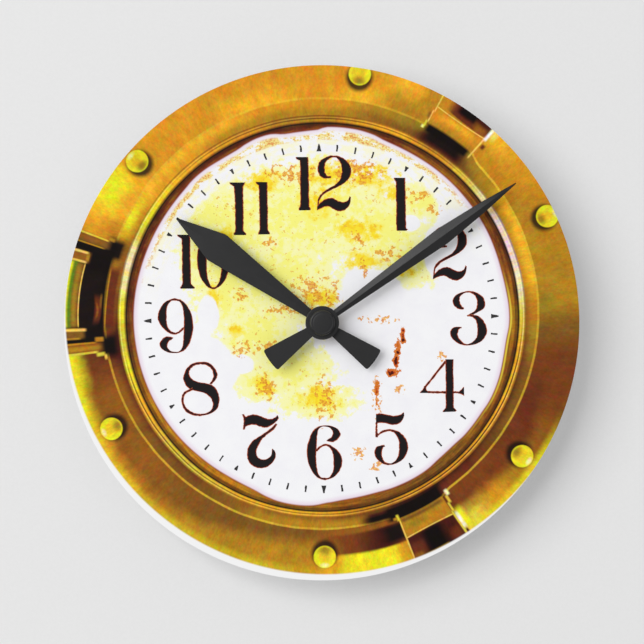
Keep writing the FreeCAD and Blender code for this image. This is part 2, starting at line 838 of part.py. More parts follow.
def make_rotor_pinion():
    """Rotor arbor with its pinion, collars and the seat of the magnet."""
    magnet_middle = (core_front + stator_front) / 2
    seat_rear = magnet_middle - magnet_length / 2
    seat_front = magnet_middle + magnet_length / 2
    return joined([
        tube(rotor_axis, rotor_boss_front - pivot_depth + pivot_end_gap,
             bridge_front - pivot_end_gap, pivot_radius),
        tube(rotor_axis, rotor_boss_front + end_play, rotor_pinion_rear, collar_radius),
        pinion(rotor_axis, rotor_pinion_rear, rotor_pinion_front, rotor_pinion_teeth,
               intermediate_module, rotor_phase),
        tube(rotor_axis, seat_rear, seat_front, magnet_seat_radius),
        tube(rotor_axis, bridge_rear - end_play - collar_length, bridge_rear - end_play,
             collar_radius),
    ])


def make_rotor_magnet():
    """Ring magnet in the stator's hole."""
    magnet_middle = (core_front + stator_front) / 2
    return tube(rotor_axis, magnet_middle - magnet_length / 2,
                magnet_middle + magnet_length / 2, magnet_radius, magnet_seat_radius)


def make_intermediate_wheel():
    """Wheel driven by the rotor, with the pinion that drives the seconds wheel."""
    pinion_front = seconds_rear + wheel_thickness + pinion_overlap
    return joined([
        tube(intermediate_axis, intermediate_boss_front - pivot_depth + pivot_end_gap,
             bridge_front - pivot_end_gap, pivot_radius),
        tube(intermediate_axis, intermediate_boss_front + end_play, intermediate_rear,
             collar_radius),
        wheel(intermediate_axis, intermediate_rear, intermediate_teeth, intermediate_module,
              0.0),
        pinion(intermediate_axis, intermediate_rear + wheel_thickness, pinion_front,
               intermediate_pinion_teeth, seconds_module, intermediate_pinion_phase),
        tube(intermediate_axis, bridge_rear - end_play - collar_length / 2,
             bridge_rear - end_play, collar_radius),
    ])


def make_seconds_wheel():
    """Wheel that turns once a minute, with the pinion that drives the third wheel."""
    pinion_rear = third_rear - pinion_overlap
    pinion_front = third_rear + wheel_thickness + pinion_overlap
    body = joined([
        tube(hands_axis, seconds_boss_front + end_play, seconds_rear + wheel_thickness,
             collar_radius),
        wheel(hands_axis, seconds_rear, seconds_teeth, seconds_module, 0.0),
        tube(hands_axis, seconds_rear, pinion_rear, collar_radius),
        pinion(hands_axis, pinion_rear, pinion_front, seconds_pinion_teeth, train_module, 0.0),
    ])
    bore = tube(hands_axis, seconds_boss_front, pinion_front + cut_overrun, pivot_radius)
    return body.cut(bore)


def make_seconds_arbor():
    """Thin steel arbor through the whole stack."""
    return tube(hands_axis, seconds_boss_front - pivot_depth + pivot_end_gap,
                seconds_arbor_front, pivot_radius)


def make_third_wheel():
    """Wheel and pinion between the seconds wheel and the centre wheel."""
    pinion_front = centre_rear + wheel_thickness + pinion_overlap
    return joined([
        tube(third_axis, third_boss_front - pivot_depth + pivot_end_gap,
             bridge_front - pivot_end_gap, pivot_radius),
        tube(third_axis, third_boss_front + end_play, seconds_rear - moving_gap, collar_radius),
        wheel(third_axis, third_rear, third_teeth, train_module, third_phase),
        pinion(third_axis, third_rear + wheel_thickness, pinion_front, third_pinion_teeth,
               centre_module, 0.0),
        tube(third_axis, pinion_front - end_play, bridge_rear - end_play, collar_radius),
    ])


def make_centre_wheel():
    """Wheel that turns once an hour and slips on the minute arbor when the time is set."""
    rim = wheel(hands_axis, centre_rear, centre_teeth, centre_module, centre_phase)
    bore = tube(hands_axis, centre_rear - cut_overrun, centre_rear + wheel_thickness + cut_overrun,
                minute_tube_radius + running_clearance)
    return rim.cut(bore)


def make_minute_arbor():
    """Tube with a flange behind the centre wheel and the cannon pinion in front of the bridge."""
    flange_front = centre_rear - end_play
    flange_rear = flange_front - minute_flange_thickness
    pinion_rear = bridge_front + end_play
    pinion_front = motion_rear + wheel_thickness + pinion_overlap / 2
    body = joined([
        tube(hands_axis, flange_rear, minute_tube_front, minute_tube_radius),
        tube(hands_axis, flange_rear, flange_front, minute_flange_radius),
        pinion(hands_axis, pinion_rear, pinion_front, cannon_teeth, motion_module, 0.0),
    ])
    bore = tube(hands_axis, flange_rear - cut_overrun, minute_tube_front + cut_overrun,
                minute_bore_radius)
    return body.cut(bore)


def make_clutch_spring():
    """Dished spring ring that presses the centre wheel against the flange."""
    rim_rear = centre_rear + wheel_thickness + end_play
    eye_rear = rim_rear + clutch_spring_dish
    return revolved((
        (minute_tube_radius, eye_rear),
        (minute_flange_radius, rim_rear),
        (minute_flange_radius, rim_rear + clutch_spring_thickness),
        (minute_tube_radius, eye_rear + clutch_spring_thickness),
    ))


def make_motion_wheel():
    """Motion-work wheel and its pinion on the fixed pin."""
    hub_rear = bridge_front + end_play
    pinion_front = hour_rear + wheel_thickness + pinion_overlap
    body = joined([
        tube(motion_axis, hub_rear, motion_rear + wheel_thickness, boss_radius),
        wheel(motion_axis, motion_rear, motion_teeth, motion_module, motion_phase),
        pinion(motion_axis, motion_rear + wheel_thickness, pinion_front, motion_pinion_teeth,
               hour_module, 0.0),
    ])
    bore = tube(motion_axis, hub_rear - cut_overrun, pinion_front + cut_overrun,
                pivot_hole_radius)
    return body.cut(bore)


def make_hour_wheel():
    """Wheel with the pipe that carries the hour hand through the bush."""
    hub_front = bush_flange_rear - end_play
    body = joined([
        wheel(hands_axis, hour_rear, hour_teeth, hour_module, hour_phase),
        tube(hands_axis, hour_rear, hub_front, hour_hub_radius),
        tube(hands_axis, hour_rear, hour_pipe_front, hour_pipe_radius),
    ])
    bore = tube(hands_axis, hour_rear - cut_overrun, hour_pipe_front + cut_overrun,
                hour_bore_radius)
    return body.cut(bore)


def make_setting_shaft():
    """Shaft from the knob to the motion wheel."""
    return joined([
        tube(setting_axis, knob_front, setting_shaft_front, setting_shaft_radius),
        pinion(setting_axis, setting_pinion_rear, setting_pinion_front, setting_teeth,
               motion_module, setting_phase),
        tube(setting_axis, setting_shaft_front, setting_pivot_front, setting_pivot_radius),
    ])


def make_setting_knob():
    """Fluted knob in its well, reached from behind."""
    knob = tube(setting_axis, knob_recess, knob_front, knob_radius)
    flutes = []
    for index in range(knob_flutes):
        direction = 360 * index / knob_flutes
        centre = stepped(setting_axis, direction, knob_radius)
        flutes.append(tube(centre, knob_recess - cut_overrun, knob_front + cut_overrun,
                           knob_flute_radius))
    return knob.cut(Part.makeCompound(flutes))


def blade_section(reach, half_width, rear, ridge):
    """Five-sided section across a blade that points to 12."""
    edge_front = rear + hand_edge_thickness
    points = [
        Vector(-half_width, -rear, reach),
        Vector(half_width, -rear, reach),
        Vector(half_width, -edge_front, reach),
        Vector(0, -edge_front - ridge, reach),
        Vector(-half_width, -edge_front, reach),
    ]
    return Part.makePolygon(points + points[:1])


def make_hand(stations, rear, ridge, bore_radius, collar, angle):
    """Hand with a ridged blade, a round hub and a flared tail, turned to its clock angle."""
    sections = [blade_section(reach, half, rear, ridge) for reach, half in stations]
    blade = Part.makeLoft(sections, True, True)
    front = rear + hub_thickness
    hub = tube(hands_axis, rear, front, hub_radius)
    tail_slope = (tail_end_half_width - tail_root_half_width) / (tail_reach - hub_radius)
    tail_far = tail_reach + cut_overrun
    tail_far_half = tail_end_half_width + tail_slope * cut_overrun
    tail_near_half = tail_root_half_width - tail_slope * hub_radius / 2
    corners = [
        Vector(tail_near_half, -rear, -hub_radius / 2),
        Vector(tail_far_half, -rear, -tail_far),
        Vector(-tail_far_half, -rear, -tail_far),
        Vector(-tail_near_half, -rear, -hub_radius / 2),
    ]
    tail = Part.Face(Part.makePolygon(corners + corners[:1])).extrude(
        Vector(0, -hand_thickness, 0))
    tail = tail.common(tube(hands_axis, rear, rear + hand_thickness, tail_reach))
    tips = [edge for edge in tail.Edges
            if edge.BoundBox.YLength > hand_thickness / 2 and edge.BoundBox.ZMax < -hub_radius]
    tail = tail.makeFillet(tail_corner_round, tips)
    collar_radius_here, collar_rear, collar_front = collar
    sleeve = tube(hands_axis, collar_rear, collar_front, collar_radius_here)
    hand = joined([hub, blade, tail, sleeve])
    hand = hand.cut(tube(hands_axis, collar_rear - cut_overrun, collar_front + cut_overrun,
                         bore_radius))
    hand.rotate(Vector(0, 0, 0), Vector(0, 1, 0), angle)
    return hand


def make_hour_hand():
    """Broad spear-shaped hand, almost flat."""
    stations = (
        (hub_radius / 2, hour_root_half_width * 0.8),
        (hour_shoulder_reach, hour_shoulder_half_width),
        (hour_tip_reach, tip_half_width),
    )
    ridge = (hand_thickness - hand_edge_thickness) / 2
    collar = (hour_hand_collar_radius, hour_hand_rear, hour_pipe_front)
    return make_hand(stations, hour_hand_rear, ridge, hour_pipe_radius, collar, hour_angle)


def make_minute_hand():
    """Long slim hand with a plain ridge along its middle."""
    stations = (
        (hub_radius / 2, minute_root_half_width * 0.9),
        (minute_widest_reach, minute_widest_half_width),
        (minute_taper_reach, minute_taper_half_width),
        (minute_tip_reach, tip_half_width),
    )
    ridge = hand_thickness - hand_edge_thickness
    collar = (minute_collar_radius, minute_hand_rear - hand_spacing / 2, minute_hand_front)
    return make_hand(stations, minute_hand_rear, ridge, minute_tube_radius, collar,
                     minute_angle)


def make_centre_cap():
    """Closed cap over the minute arbor's end, with a rounded front rim."""
    cap = tube(hands_axis, minute_hand_front, cap_front, cap_radius)
    rims = [edge for edge in cap.Edges
            if edge.BoundBox.YLength < running_clearance
            and abs(edge.BoundBox.YMin + cap_front) < running_clearance]
    cap = cap.makeFillet(cap_round, rims)
    return cap.cut(tube(hands_axis, minute_hand_front - cut_overrun, minute_tube_front,
                        minute_tube_radius))


makers = {
    "face_disc": make_face_disc,
    "printed_film": make_printed_film,
    "rubber_washer": make_rubber_washer,
    "dial_washer": make_dial_washer,
    "hex_nut": make_hex_nut,
    "threaded_bush": make_threaded_bush,
    "movement_case": make_movement_case,
    "front_cover": make_front_cover,
    "hanger_tab": make_hanger_tab,
    "train_bridge": make_train_bridge,
    "motion_pin": make_motion_pin,
    "circuit_board": make_circuit_board,
    "clock_chip": make_clock_chip,
    "quartz_crystal": make_quartz_crystal,
    "coil_bobbin": make_coil_bobbin,
    "coil_winding": make_coil_winding,
    "coil_core": make_coil_core,
    "stator": make_stator,
    "contact_positive": make_contact_positive,
    "contact_negative": make_contact_negative,
    "battery_cell": make_battery_cell,
    "battery_positive_cap": make_battery_positive_cap,
    "battery_negative_cap": make_battery_negative_cap,
    "rotor_pinion": make_rotor_pinion,
    "rotor_magnet": make_rotor_magnet,
    "intermediate_wheel": make_intermediate_wheel,
    "seconds_wheel": make_seconds_wheel,
    "seconds_arbor": make_seconds_arbor,
    "third_wheel": make_third_wheel,
    "centre_wheel": make_centre_wheel,
    "minute_arbor": make_minute_arbor,
    "clutch_spring": make_clutch_spring,
    "motion_wheel": make_motion_wheel,
    "hour_wheel": make_hour_wheel,
    "setting_shaft": make_setting_shaft,
    "setting_knob": make_setting_knob,
    "hour_hand": make_hour_hand,
    "minute_hand": make_minute_hand,
    "centre_cap": make_centre_cap,
}

for node, maker in makers.items():
    save(node, maker())
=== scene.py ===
import math
from functools import partialmethod, reduce

import bmesh
import bpy
import numpy as np
from bpy.props import FloatProperty, FloatVectorProperty, PointerProperty
from bpy.types import Operator, Panel, PropertyGroup
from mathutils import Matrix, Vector


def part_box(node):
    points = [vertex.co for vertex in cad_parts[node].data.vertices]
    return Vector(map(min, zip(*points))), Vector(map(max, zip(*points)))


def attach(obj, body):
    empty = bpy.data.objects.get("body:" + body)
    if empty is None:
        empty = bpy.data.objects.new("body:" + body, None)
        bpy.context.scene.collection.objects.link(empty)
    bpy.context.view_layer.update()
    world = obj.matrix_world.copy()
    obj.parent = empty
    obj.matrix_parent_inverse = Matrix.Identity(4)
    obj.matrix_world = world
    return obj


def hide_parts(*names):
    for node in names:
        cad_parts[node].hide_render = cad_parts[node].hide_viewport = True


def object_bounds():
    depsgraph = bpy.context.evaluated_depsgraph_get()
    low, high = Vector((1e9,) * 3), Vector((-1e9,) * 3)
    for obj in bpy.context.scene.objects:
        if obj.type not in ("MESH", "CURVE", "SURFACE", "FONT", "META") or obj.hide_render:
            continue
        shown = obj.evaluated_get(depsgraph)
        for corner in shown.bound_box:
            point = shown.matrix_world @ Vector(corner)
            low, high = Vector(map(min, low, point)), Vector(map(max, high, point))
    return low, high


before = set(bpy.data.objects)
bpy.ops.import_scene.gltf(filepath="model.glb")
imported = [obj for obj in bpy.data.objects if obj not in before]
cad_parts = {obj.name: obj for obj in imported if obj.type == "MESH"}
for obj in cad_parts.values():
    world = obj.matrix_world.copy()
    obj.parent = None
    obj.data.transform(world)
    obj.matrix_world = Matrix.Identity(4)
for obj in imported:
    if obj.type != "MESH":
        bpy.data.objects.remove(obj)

bl_info = {
    "name": "Porthole wall clock",
    "version": (1, 0, 0),
    "blender": (4, 5, 0),
    "location": "View3D > Sidebar > Wall Clock",
    "description": "Printed porthole face, hands, finishes and stage of a round wall clock",
    "category": "Object",
}

# Corners of the frame's boxes
cad_low, cad_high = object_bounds()
disc_low, disc_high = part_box("face_disc")
film_low, film_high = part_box("printed_film")
hour_low, hour_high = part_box("hour_hand")
minute_low, minute_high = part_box("minute_hand")
cap_low, cap_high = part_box("centre_cap")
cell_low, cell_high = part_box("battery_cell")
knob_low, knob_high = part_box("setting_knob")
case_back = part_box("movement_case")[1].y
disc_radius = (disc_high.x - disc_low.x) / 2
axis_x = (disc_high.x + disc_low.x) / 2
axis_z = (disc_high.z + disc_low.z) / 2

# The print is drawn in units of which the disc's radius holds 257, x to the right and z up.
# The drawing's origin sits drawing_shift off the disc's centre
drawing_radius = 257.0
drawing_shift = (-0.5, -0.6)
unit = disc_radius / drawing_radius
mm = 0.001
full_turn = 360.0
merge_distance = 1e-7

# Disc and print
hole_radius = 4.2 * mm
disc_edge_round = 0.15 * mm
disc_plain_ring = 4.0 * mm
sheet_margin = 0.08 * mm
disc_segments = 512
ink_height = 0.04 * mm
ink_sunk = 0.02 * mm
ink_layer = 0.002 * mm

# Hands and cap, as in the solids
hub_radius = 6.6 * mm
hour_bore = 2.45 * mm
minute_bore = 1.5 * mm
hub_thickness = 1.2 * mm
hour_collar_radius = 3.4 * mm
minute_collar_radius = 3.0 * mm
# Rounds of the hubs and collars, and how far the minute hand's collar runs into its hub
hour_hub_round = 0.2 * mm
minute_hub_round = 0.25 * mm
hour_collar_round = 0.1 * mm
minute_collar_round = 0.05 * mm
collar_overlap = 0.1 * mm
cap_radius = 4.9 * mm
cap_depth_inside = 1.9 * mm
cap_rim_round = 0.6 * mm
cap_rim_drop = 0.68 * mm
# Groove in the cap's front, in mm: (reach, drop); the dome inside it drops by share r^2
cap_groove = ((4.02, 0.075), (3.8, 0.13), (3.6, 0.075))
cap_dome_reach = 3.3
cap_dome_share = 0.0053
tail_reach = 25.4 * mm
tail_root_half = 2.1 * mm
tail_end_half = 4.75 * mm
tail_corner = 0.8 * mm
hand_edge = 0.5 * mm
hand_thickness = 1.0 * mm
hand_bevel = 0.12 * mm
# Shares of a blade's run: over which its width is averaged, and at the tip where it isn't
blade_average = 0.012
blade_tip = 0.02
blade_rows = 140
tail_rows = 60
hand_crease_degrees = 6.5
cap_crease_degrees = 40.0
hub_segments = 160
# Blades, in mm: (reach, half width) from the hub to the tip
hour_outline = ((3.3, 1.45), (50.9, 6.2), (70.3, 0.25))
minute_outline = ((3.3, 1.3), (58.0, 3.5), (78.0, 2.0), (93.5, 0.25))
hour_clock_angle = 305.6
minute_clock_angle = 54.2

# Raised marks on the back of the case
mark_height = 0.12 * mm
mark_sunk = 0.2 * mm
mark_half_length = 1.6 * mm
mark_half_width = 0.3 * mm
mark_above_cell = 2.9 * mm
mark_from_cell_end = 2.6 * mm
arrow_gap = 3.2 * mm
arrow_ends = (118.0, 212.0)
arrow_head_half = 1.25 * mm
arrow_tip_half = 0.05 * mm

# Pitch of the coil's wire
wire_pitch = 0.18 * mm

# Stage. The wall's middle, half width and half height are in metres
wall_middle = (0.0, cad_high.y + 0.8 * mm, -0.1)
wall_half_size = (2.4, 1.9)
# Lamps: name, setting, degrees off the disc's front, degrees above level, width in metres
lamps = (("key_lamp", "key_watts", 39.0, 20.0, 3.5), ("upper_lamp", "upper_watts", 26.0, 54.0, 1.0))
lamp_reach = 4.5
# Room light as mirrors see it, a share of the setting, and as the camera sees it
mirrored_room = 0.55
seen_room = 0.82
# Camera: the photo's frame holds 644 drawing units; azimuth and elevation in degrees, what it
# aims at right of and above the hands' axis, and its distance as a share of the frame's
frame_width = 644 * unit
camera_degrees = (-0.6, 0.1)
camera_aim = (-0.1 * unit, 0.8 * unit)
camera_nearness = 0.997
sensor_width = 36.0

# Numbers on the dial. Each stroke is a row of edge pairs (x, y, x, y), y downwards, in
# drawing units from the corner of a square whose middle is at drawing_middle; a curved
# stroke is smoothed through its rows, a straight one is not
drawing_middle = (322.0, 323.2)
two_strokes = (
    ("curved", (
        (331.5, 178, 331.5, 177), (326, 178.6, 327.5, 176.2), (321.5, 177, 325.5, 173.5),
        (318.6, 172.5, 324.9, 170), (318.4, 166.5, 325, 166), (320.5, 161.5, 326, 162.5),
        (325, 158.3, 328.8, 159.5), (331, 156.2, 332, 157.8), (337, 156.3, 337, 158),
        (343, 158.5, 340.3, 161.5), (348, 162.5, 342, 166.5), (350.8, 168.5, 342.4, 172),
        (350.6, 175, 341.6, 176.5), (347.5, 180.5, 339.6, 181), (341, 185.5, 336, 184.8),
        (334.5, 188.6, 331.5, 187.6), (328.5, 191.6, 326.5, 190.4), (323.2, 195.3, 321.9, 194.1),
        (319.8, 200, 318.9, 198.6), (318.9, 204.5, 318.2, 204), (318.4, 208, 317.8, 208),
    )),
    ("curved", (
        (317.6, 207, 317.4, 210), (320.5, 203.6, 320.6, 208.6), (324, 200.6, 325, 206.6),
        (328.5, 198.7, 329.5, 206.6), (333, 198.6, 332.5, 208.2), (337, 200.6, 335.5, 210),
        (341, 202.4, 339.5, 211.2), (345, 202.3, 344, 210.4), (348, 200.9, 347.6, 207.8),
        (349.4, 198.2, 350.3, 203.2), (350, 196.6, 351, 197.2),
    )),
)
six_strokes = (
    ("curved", (
        (327, 440, 328, 439), (333.5, 441, 331.5, 437), (338.5, 438, 333.4, 433.5),
        (340.6, 433, 333, 430.3), (337.5, 428.3, 330.5, 427.4), (332, 425.6, 327, 426.2),
        (325.5, 424.9, 322.5, 426.1), (319, 426.2, 318.8, 429), (313.5, 430.7, 317.4, 434),
        (310, 438, 316.9, 441), (307.9, 447, 316.4, 450), (307.7, 456, 316.2, 458),
        (309.3, 463.5, 317, 466.5), (312.5, 470.5, 318.2, 472), (316, 475, 320, 475.5),
        (320.5, 478, 322.5, 477), (326, 479.1, 326, 477.6),
    )),
    ("curved", (
        (316.3, 449.8, 317, 450.6), (318.3, 447.4, 319.2, 448.6), (321.5, 445, 322, 446.2),
        (326, 443.4, 326, 444.9), (331, 445, 329.5, 446.6), (336.5, 449, 332.6, 450.5),
        (340.5, 454, 334, 456), (342.2, 460, 334.3, 461.5), (341.6, 466, 334, 467.5),
        (338, 472.5, 332.6, 473), (333.5, 476.8, 329.8, 476.5), (326, 479.2, 326, 477.8),
    )),
)
number_strokes = {
    "12": (
        ("straight", (
            (296.3, 157.4, 308.3, 157.4), (297, 159.4, 308.3, 159.4), (300.6, 161, 308.4, 161),
            (301, 165, 308.6, 165), (301, 200, 309.3, 200), (300.8, 206.4, 309.3, 206.4),
            (299.3, 209, 311, 208.8), (299.5, 210.6, 310.5, 210.4),
        )),
    ) + two_strokes,
    "1": (
        ("straight", (
            (394.2, 178, 405, 178), (394.6, 179.6, 405, 179.6), (396.3, 182, 405.2, 182),
            (396.6, 205, 405.6, 205), (396.8, 228.5, 405.9, 228.5), (397, 229.6, 408, 229.4),
            (397.2, 230.8, 406.2, 230.8),
        )),
    ),
    "3": (
        ("curved", (
            (464, 308.9, 464, 307.9), (459, 308.8, 462, 306.6), (455, 305.8, 460, 303),
            (453, 301.5, 459.2, 299.5), (454.2, 297, 460.2, 296), (458.5, 293.6, 463, 293.6),
            (463.5, 291.8, 466, 292.4), (469, 290.9, 469, 292.2), (475, 292.2, 473.4, 293.6),
            (480.5, 295, 476.2, 297), (484.3, 300, 477.2, 301.5), (484.8, 305, 477, 306),
            (482.5, 309.2, 475.6, 310), (478, 311.8, 472.5, 312.2), (473.5, 314.2, 469.5, 314),
            (469.5, 315.9, 466.8, 315.6),
        )),
        ("curved", (
            (467.5, 315.2, 467.5, 316), (472.5, 314.9, 471.5, 316.4), (478, 316.2, 475.4, 319),
            (483, 320.3, 477.2, 324), (486.2, 326.5, 477.8, 330), (486.6, 332, 477.4, 335.5),
            (484.2, 337.8, 475, 339.8), (479.5, 342, 471.5, 342.4), (473.5, 344.4, 468.5, 343.8),
            (467, 345, 466, 343.8), (460, 343.9, 462.5, 342.4), (454.5, 340.3, 459.5, 339),
            (451.2, 335.8, 457.6, 335), (450.7, 331.5, 458, 330.6), (452.8, 328, 459.5, 328.6),
            (456.5, 326.6, 460.5, 327.9), (461.8, 327, 461.5, 327.8),
        )),
    ),
    "4": (
        ("straight", (
            (445.8, 359, 453, 359), (446.2, 405, 453.4, 405), (446, 407.5, 453.8, 407.5),
            (443, 410.6, 456.5, 410.2), (443.4, 411.6, 455, 411.2),
        )),
        ("straight", (
            (446, 361.9, 445, 360.6), (425.2, 388.2, 424, 387.4),
        )),
        ("straight", (
            (424.6, 385.6, 426, 386), (423, 389.5, 426.3, 389.5), (420.6, 391.4, 428.6, 391.4),
            (420.4, 392.6, 428.4, 392.6),
        )),
        ("straight", (
            (428, 391.1, 428, 392.6), (446, 391.2, 446, 392.7),
        )),
        ("straight", (
            (453, 391.2, 453, 392.5), (459, 391.3, 459, 392.8), (461.5, 389.2, 461.5, 393.6),
            (464, 386.6, 464.2, 395.3),
        )),
    ),
    "5": (
        ("curved", (
            (376.2, 413.6, 376.2, 422.4), (381, 413.2, 381, 421.9), (387, 414.6, 386.5, 422.6),
            (392.5, 415.4, 391, 423.8), (397.5, 415.4, 396.5, 423.8), (401.5, 413.8, 400.8, 421.4),
            (403.2, 412.3, 403.2, 418), (404.2, 412.6, 404.4, 415),
        )),
        ("straight", (
            (376.1, 422, 377.3, 422), (376, 432, 377.2, 432), (375.8, 434, 378.7, 433.5),
            (376.2, 436.8, 377.6, 436.8),
        )),
        ("curved", (
            (378.3, 434, 378.6, 434.8), (381.5, 431.2, 382, 432.5), (386, 429.4, 386.4, 430.8),
            (390.5, 428.8, 390.5, 430.4), (395.5, 430, 394.2, 431.8), (401.5, 433.3, 397.6, 436),
            (405.8, 438.5, 399.2, 441), (407.8, 445, 399.6, 447), (407.2, 451.5, 399.2, 453),
            (404, 457.5, 396.6, 459), (398.5, 461.8, 392.4, 462.4), (392, 464, 389.5, 462.7),
            (386.5, 463.9, 386.5, 462.2), (380.5, 461.3, 383.5, 460), (376.5, 457, 382.2, 456),
            (375, 451.5, 381.7, 451), (376.3, 447.3, 382.8, 447.6), (378.5, 445.6, 383.9, 446.3),
            (384.6, 444.4, 385.2, 445.8),
        )),
    ),
    "6": six_strokes,
    "7": (
        ("straight", (
            (243, 413.8, 244.2, 413.6), (244.5, 417.5, 246.4, 417), (244.6, 421, 246.8, 421),
            (244.2, 426, 246.2, 425.5), (243.8, 429, 245, 429),
        )),
        ("curved", (
            (246, 416.8, 246, 426), (250, 414.9, 250, 424.3), (255.5, 414.2, 255.5, 423.9),
            (260.5, 415.6, 260, 425.4), (265, 417.6, 265, 426.8), (270, 418.9, 270, 425.6),
            (274.5, 417.8, 274.5, 422.8), (277.5, 415.5, 277.8, 419.6), (278.4, 415, 279.2, 417.2),
        )),
        ("curved", (
            (276.6, 422.8, 277.6, 423.8), (272, 427.6, 273.4, 429.4), (265.5, 432.6, 266.7, 434.6),
            (259, 436.6, 262.5, 438.5), (253.5, 440.6, 259.5, 443.5), (249.3, 446.5, 257, 449.5),
            (247.9, 453, 256.9, 454.5), (249.2, 460, 259.5, 457.6), (253, 464.5, 262.5, 458.9),
            (258, 467, 266, 458.8), (264.5, 467, 269.5, 457.2), (270.5, 464.2, 271.8, 454.6),
            (274.5, 459.5, 272.4, 451.5), (276.2, 454.5, 272.6, 449.3), (275.2, 450, 273.4, 448.4),
        )),
    ),
    "8": (
        ("curved", (
            (201, 361.8, 201, 363.5), (195, 362.7, 195.5, 364.9), (189.5, 366.3, 191.4, 368),
            (186, 371.5, 189.8, 372), (184.3, 377.5, 190.6, 376.2), (186, 383, 194.2, 379.8),
            (190, 387.6, 199.5, 381.7), (195.5, 390, 206, 383), (202, 391.2, 212, 384.6),
            (207.5, 393.3, 216.2, 388), (211.5, 397.2, 218.9, 393.5), (213.8, 402, 219.9, 399.8),
            (213.6, 406.5, 218.6, 406), (211, 410.5, 215.3, 410.6), (206, 413, 208.5, 413.9),
            (200.5, 413.6, 201, 415.2),
        )),
        ("curved", (
            (201, 415.2, 201, 413.6), (194, 414.3, 194.8, 412.6), (187.2, 410.9, 189.2, 409.4),
            (183.5, 405, 185.4, 404.6), (182.5, 398.5, 184.2, 398.6), (184.2, 393, 185.8, 394),
            (187.9, 390.1, 188.8, 391.5), (193.5, 387.6, 194.2, 389.2),
        )),
        ("curved", (
            (201, 361.8, 201, 363.5), (207, 362.1, 206.5, 364), (212.5, 364.8, 211, 367),
            (216.5, 369.5, 213.6, 371), (217.9, 374.5, 214.6, 375), (216.3, 379, 213.4, 379.4),
            (212.3, 383.8, 210.6, 383.5),
        )),
    ),
    "10": (
        ("straight", (
            (178.4, 234.8, 190, 235), (178.8, 236.4, 190.3, 236.3), (183, 239, 190.8, 239),
            (183.3, 262, 191, 262), (183.6, 284, 191.8, 284), (181.5, 287.2, 195.5, 287.4),
            (181.5, 288.6, 195, 288.6),
        )),
        ("curved", (
            (214, 234.5, 214, 236.2), (207.5, 236.6, 210, 238), (202, 242.5, 207.6, 245),
            (199, 251, 206.9, 253), (198.3, 262, 207.2, 262), (199.6, 271, 207.6, 271),
            (202, 278, 208.6, 279), (206, 284, 210.6, 284.6), (210, 287.7, 212.5, 287),
            (214.2, 289, 214.4, 287.4),
        )),
        ("curved", (
            (214, 234.5, 214, 236.2), (220.5, 236.6, 218.4, 238), (226, 242.5, 220.9, 245),
            (229.2, 251, 222.2, 253), (230, 262, 222.6, 262), (228.8, 271, 222.2, 271),
            (226.6, 278, 220.9, 279), (222.8, 284, 218.4, 284.6), (218, 287.7, 216.2, 287),
            (214.2, 289, 214.4, 287.4),
        )),
    ),
    "11": (
        ("straight", (
            (230.6, 182.8, 245.5, 182.8), (231, 184.3, 245, 184), (234.8, 187, 243.6, 187),
            (236, 205, 243.8, 205), (236.2, 231, 243.9, 231), (234.6, 233.8, 246.6, 233.8),
            (234.8, 235.2, 246.4, 235.2),
        )),
        ("straight", (
            (256.5, 182.2, 267.6, 182.4), (257, 183.8, 267.8, 184), (259.5, 186, 267.8, 186),
            (260.2, 205, 268, 205), (260.4, 230, 268.3, 230), (259, 233, 270.2, 233),
            (259.2, 234.6, 270, 234.4),
        )),
    ),
}
# The 2 repeats the strokes of the 12's second figure, and the 9 is the 6 turned half round
two_step = (115.6, 68.9)
nine_turn_sum = (501.4, 777.6)

# Minute track: 60 marks on an ellipse, turned by track_turn degrees; each kind of mark has
# its length, and its half widths at the inner and outer end
track_centre = (-0.2, 4.9)
track_half_axes = (173.1, 170.4)
track_turn = -0.82
plain_mark = (6.6, 0.7, 0.7)
quarter_mark = (7.6, 2.2, 0.3)
five_mark = (5.2, 0.4, 1.7)
ragged_edge = 0.28
ragged_seed = 12
number_spread = 0.4
mark_spread = 0.15

# Palette, screen colours: first the pictured brass, then dial and rust, ink and battery
palette = {
    "white": (255, 250, 236), "pink": (250, 222, 226), "lemon": (240, 230, 42),
    "straw": (228, 205, 70), "gold": (245, 180, 44), "amber": (222, 152, 36),
    "ochre": (184, 134, 34), "olive": (160, 126, 36), "umber": (128, 86, 33),
    "russet": (108, 48, 28), "maroon": (72, 26, 22), "black": (27, 17, 17),
    "copper": (200, 136, 32), "bronze": (150, 92, 30), "green": (96, 128, 30),
    "honey": (246, 206, 104), "cream": (251, 240, 186), "pitch": (20, 13, 14),
    "chestnut": (124, 64, 28),
    "enamel": (246, 246, 248), "enamel shade": (241, 240, 245), "pale stain": (249, 248, 172),
    "yellow stain": (248, 244, 112), "deep stain": (250, 226, 36), "warm stain": (246, 190, 44),
    "light rust": (244, 184, 56), "rust": (216, 116, 42), "stray rust": (232, 178, 70),
    "brown spot": (150, 84, 40), "streak": (214, 116, 24), "red streak": (188, 52, 24),
    "dark streak": (46, 18, 18), "wash": (251, 247, 186), "pale fleck": (244, 226, 128),
    "rust fleck": (222, 136, 44), "lavender": (226, 196, 220), "rusted lip": (150, 52, 34),
    "bleed light": (214, 128, 84), "bleed": (156, 62, 40), "bleed dark": (78, 28, 26),
    "ink brown": (38, 22, 24), "paper": (243, 243, 243), "ink": (32, 29, 30),
    "hand black": (30, 30, 31), "sleeve blue": (52, 66, 92), "pale band": (214, 216, 220),
    "silver band": (150, 156, 166),
}
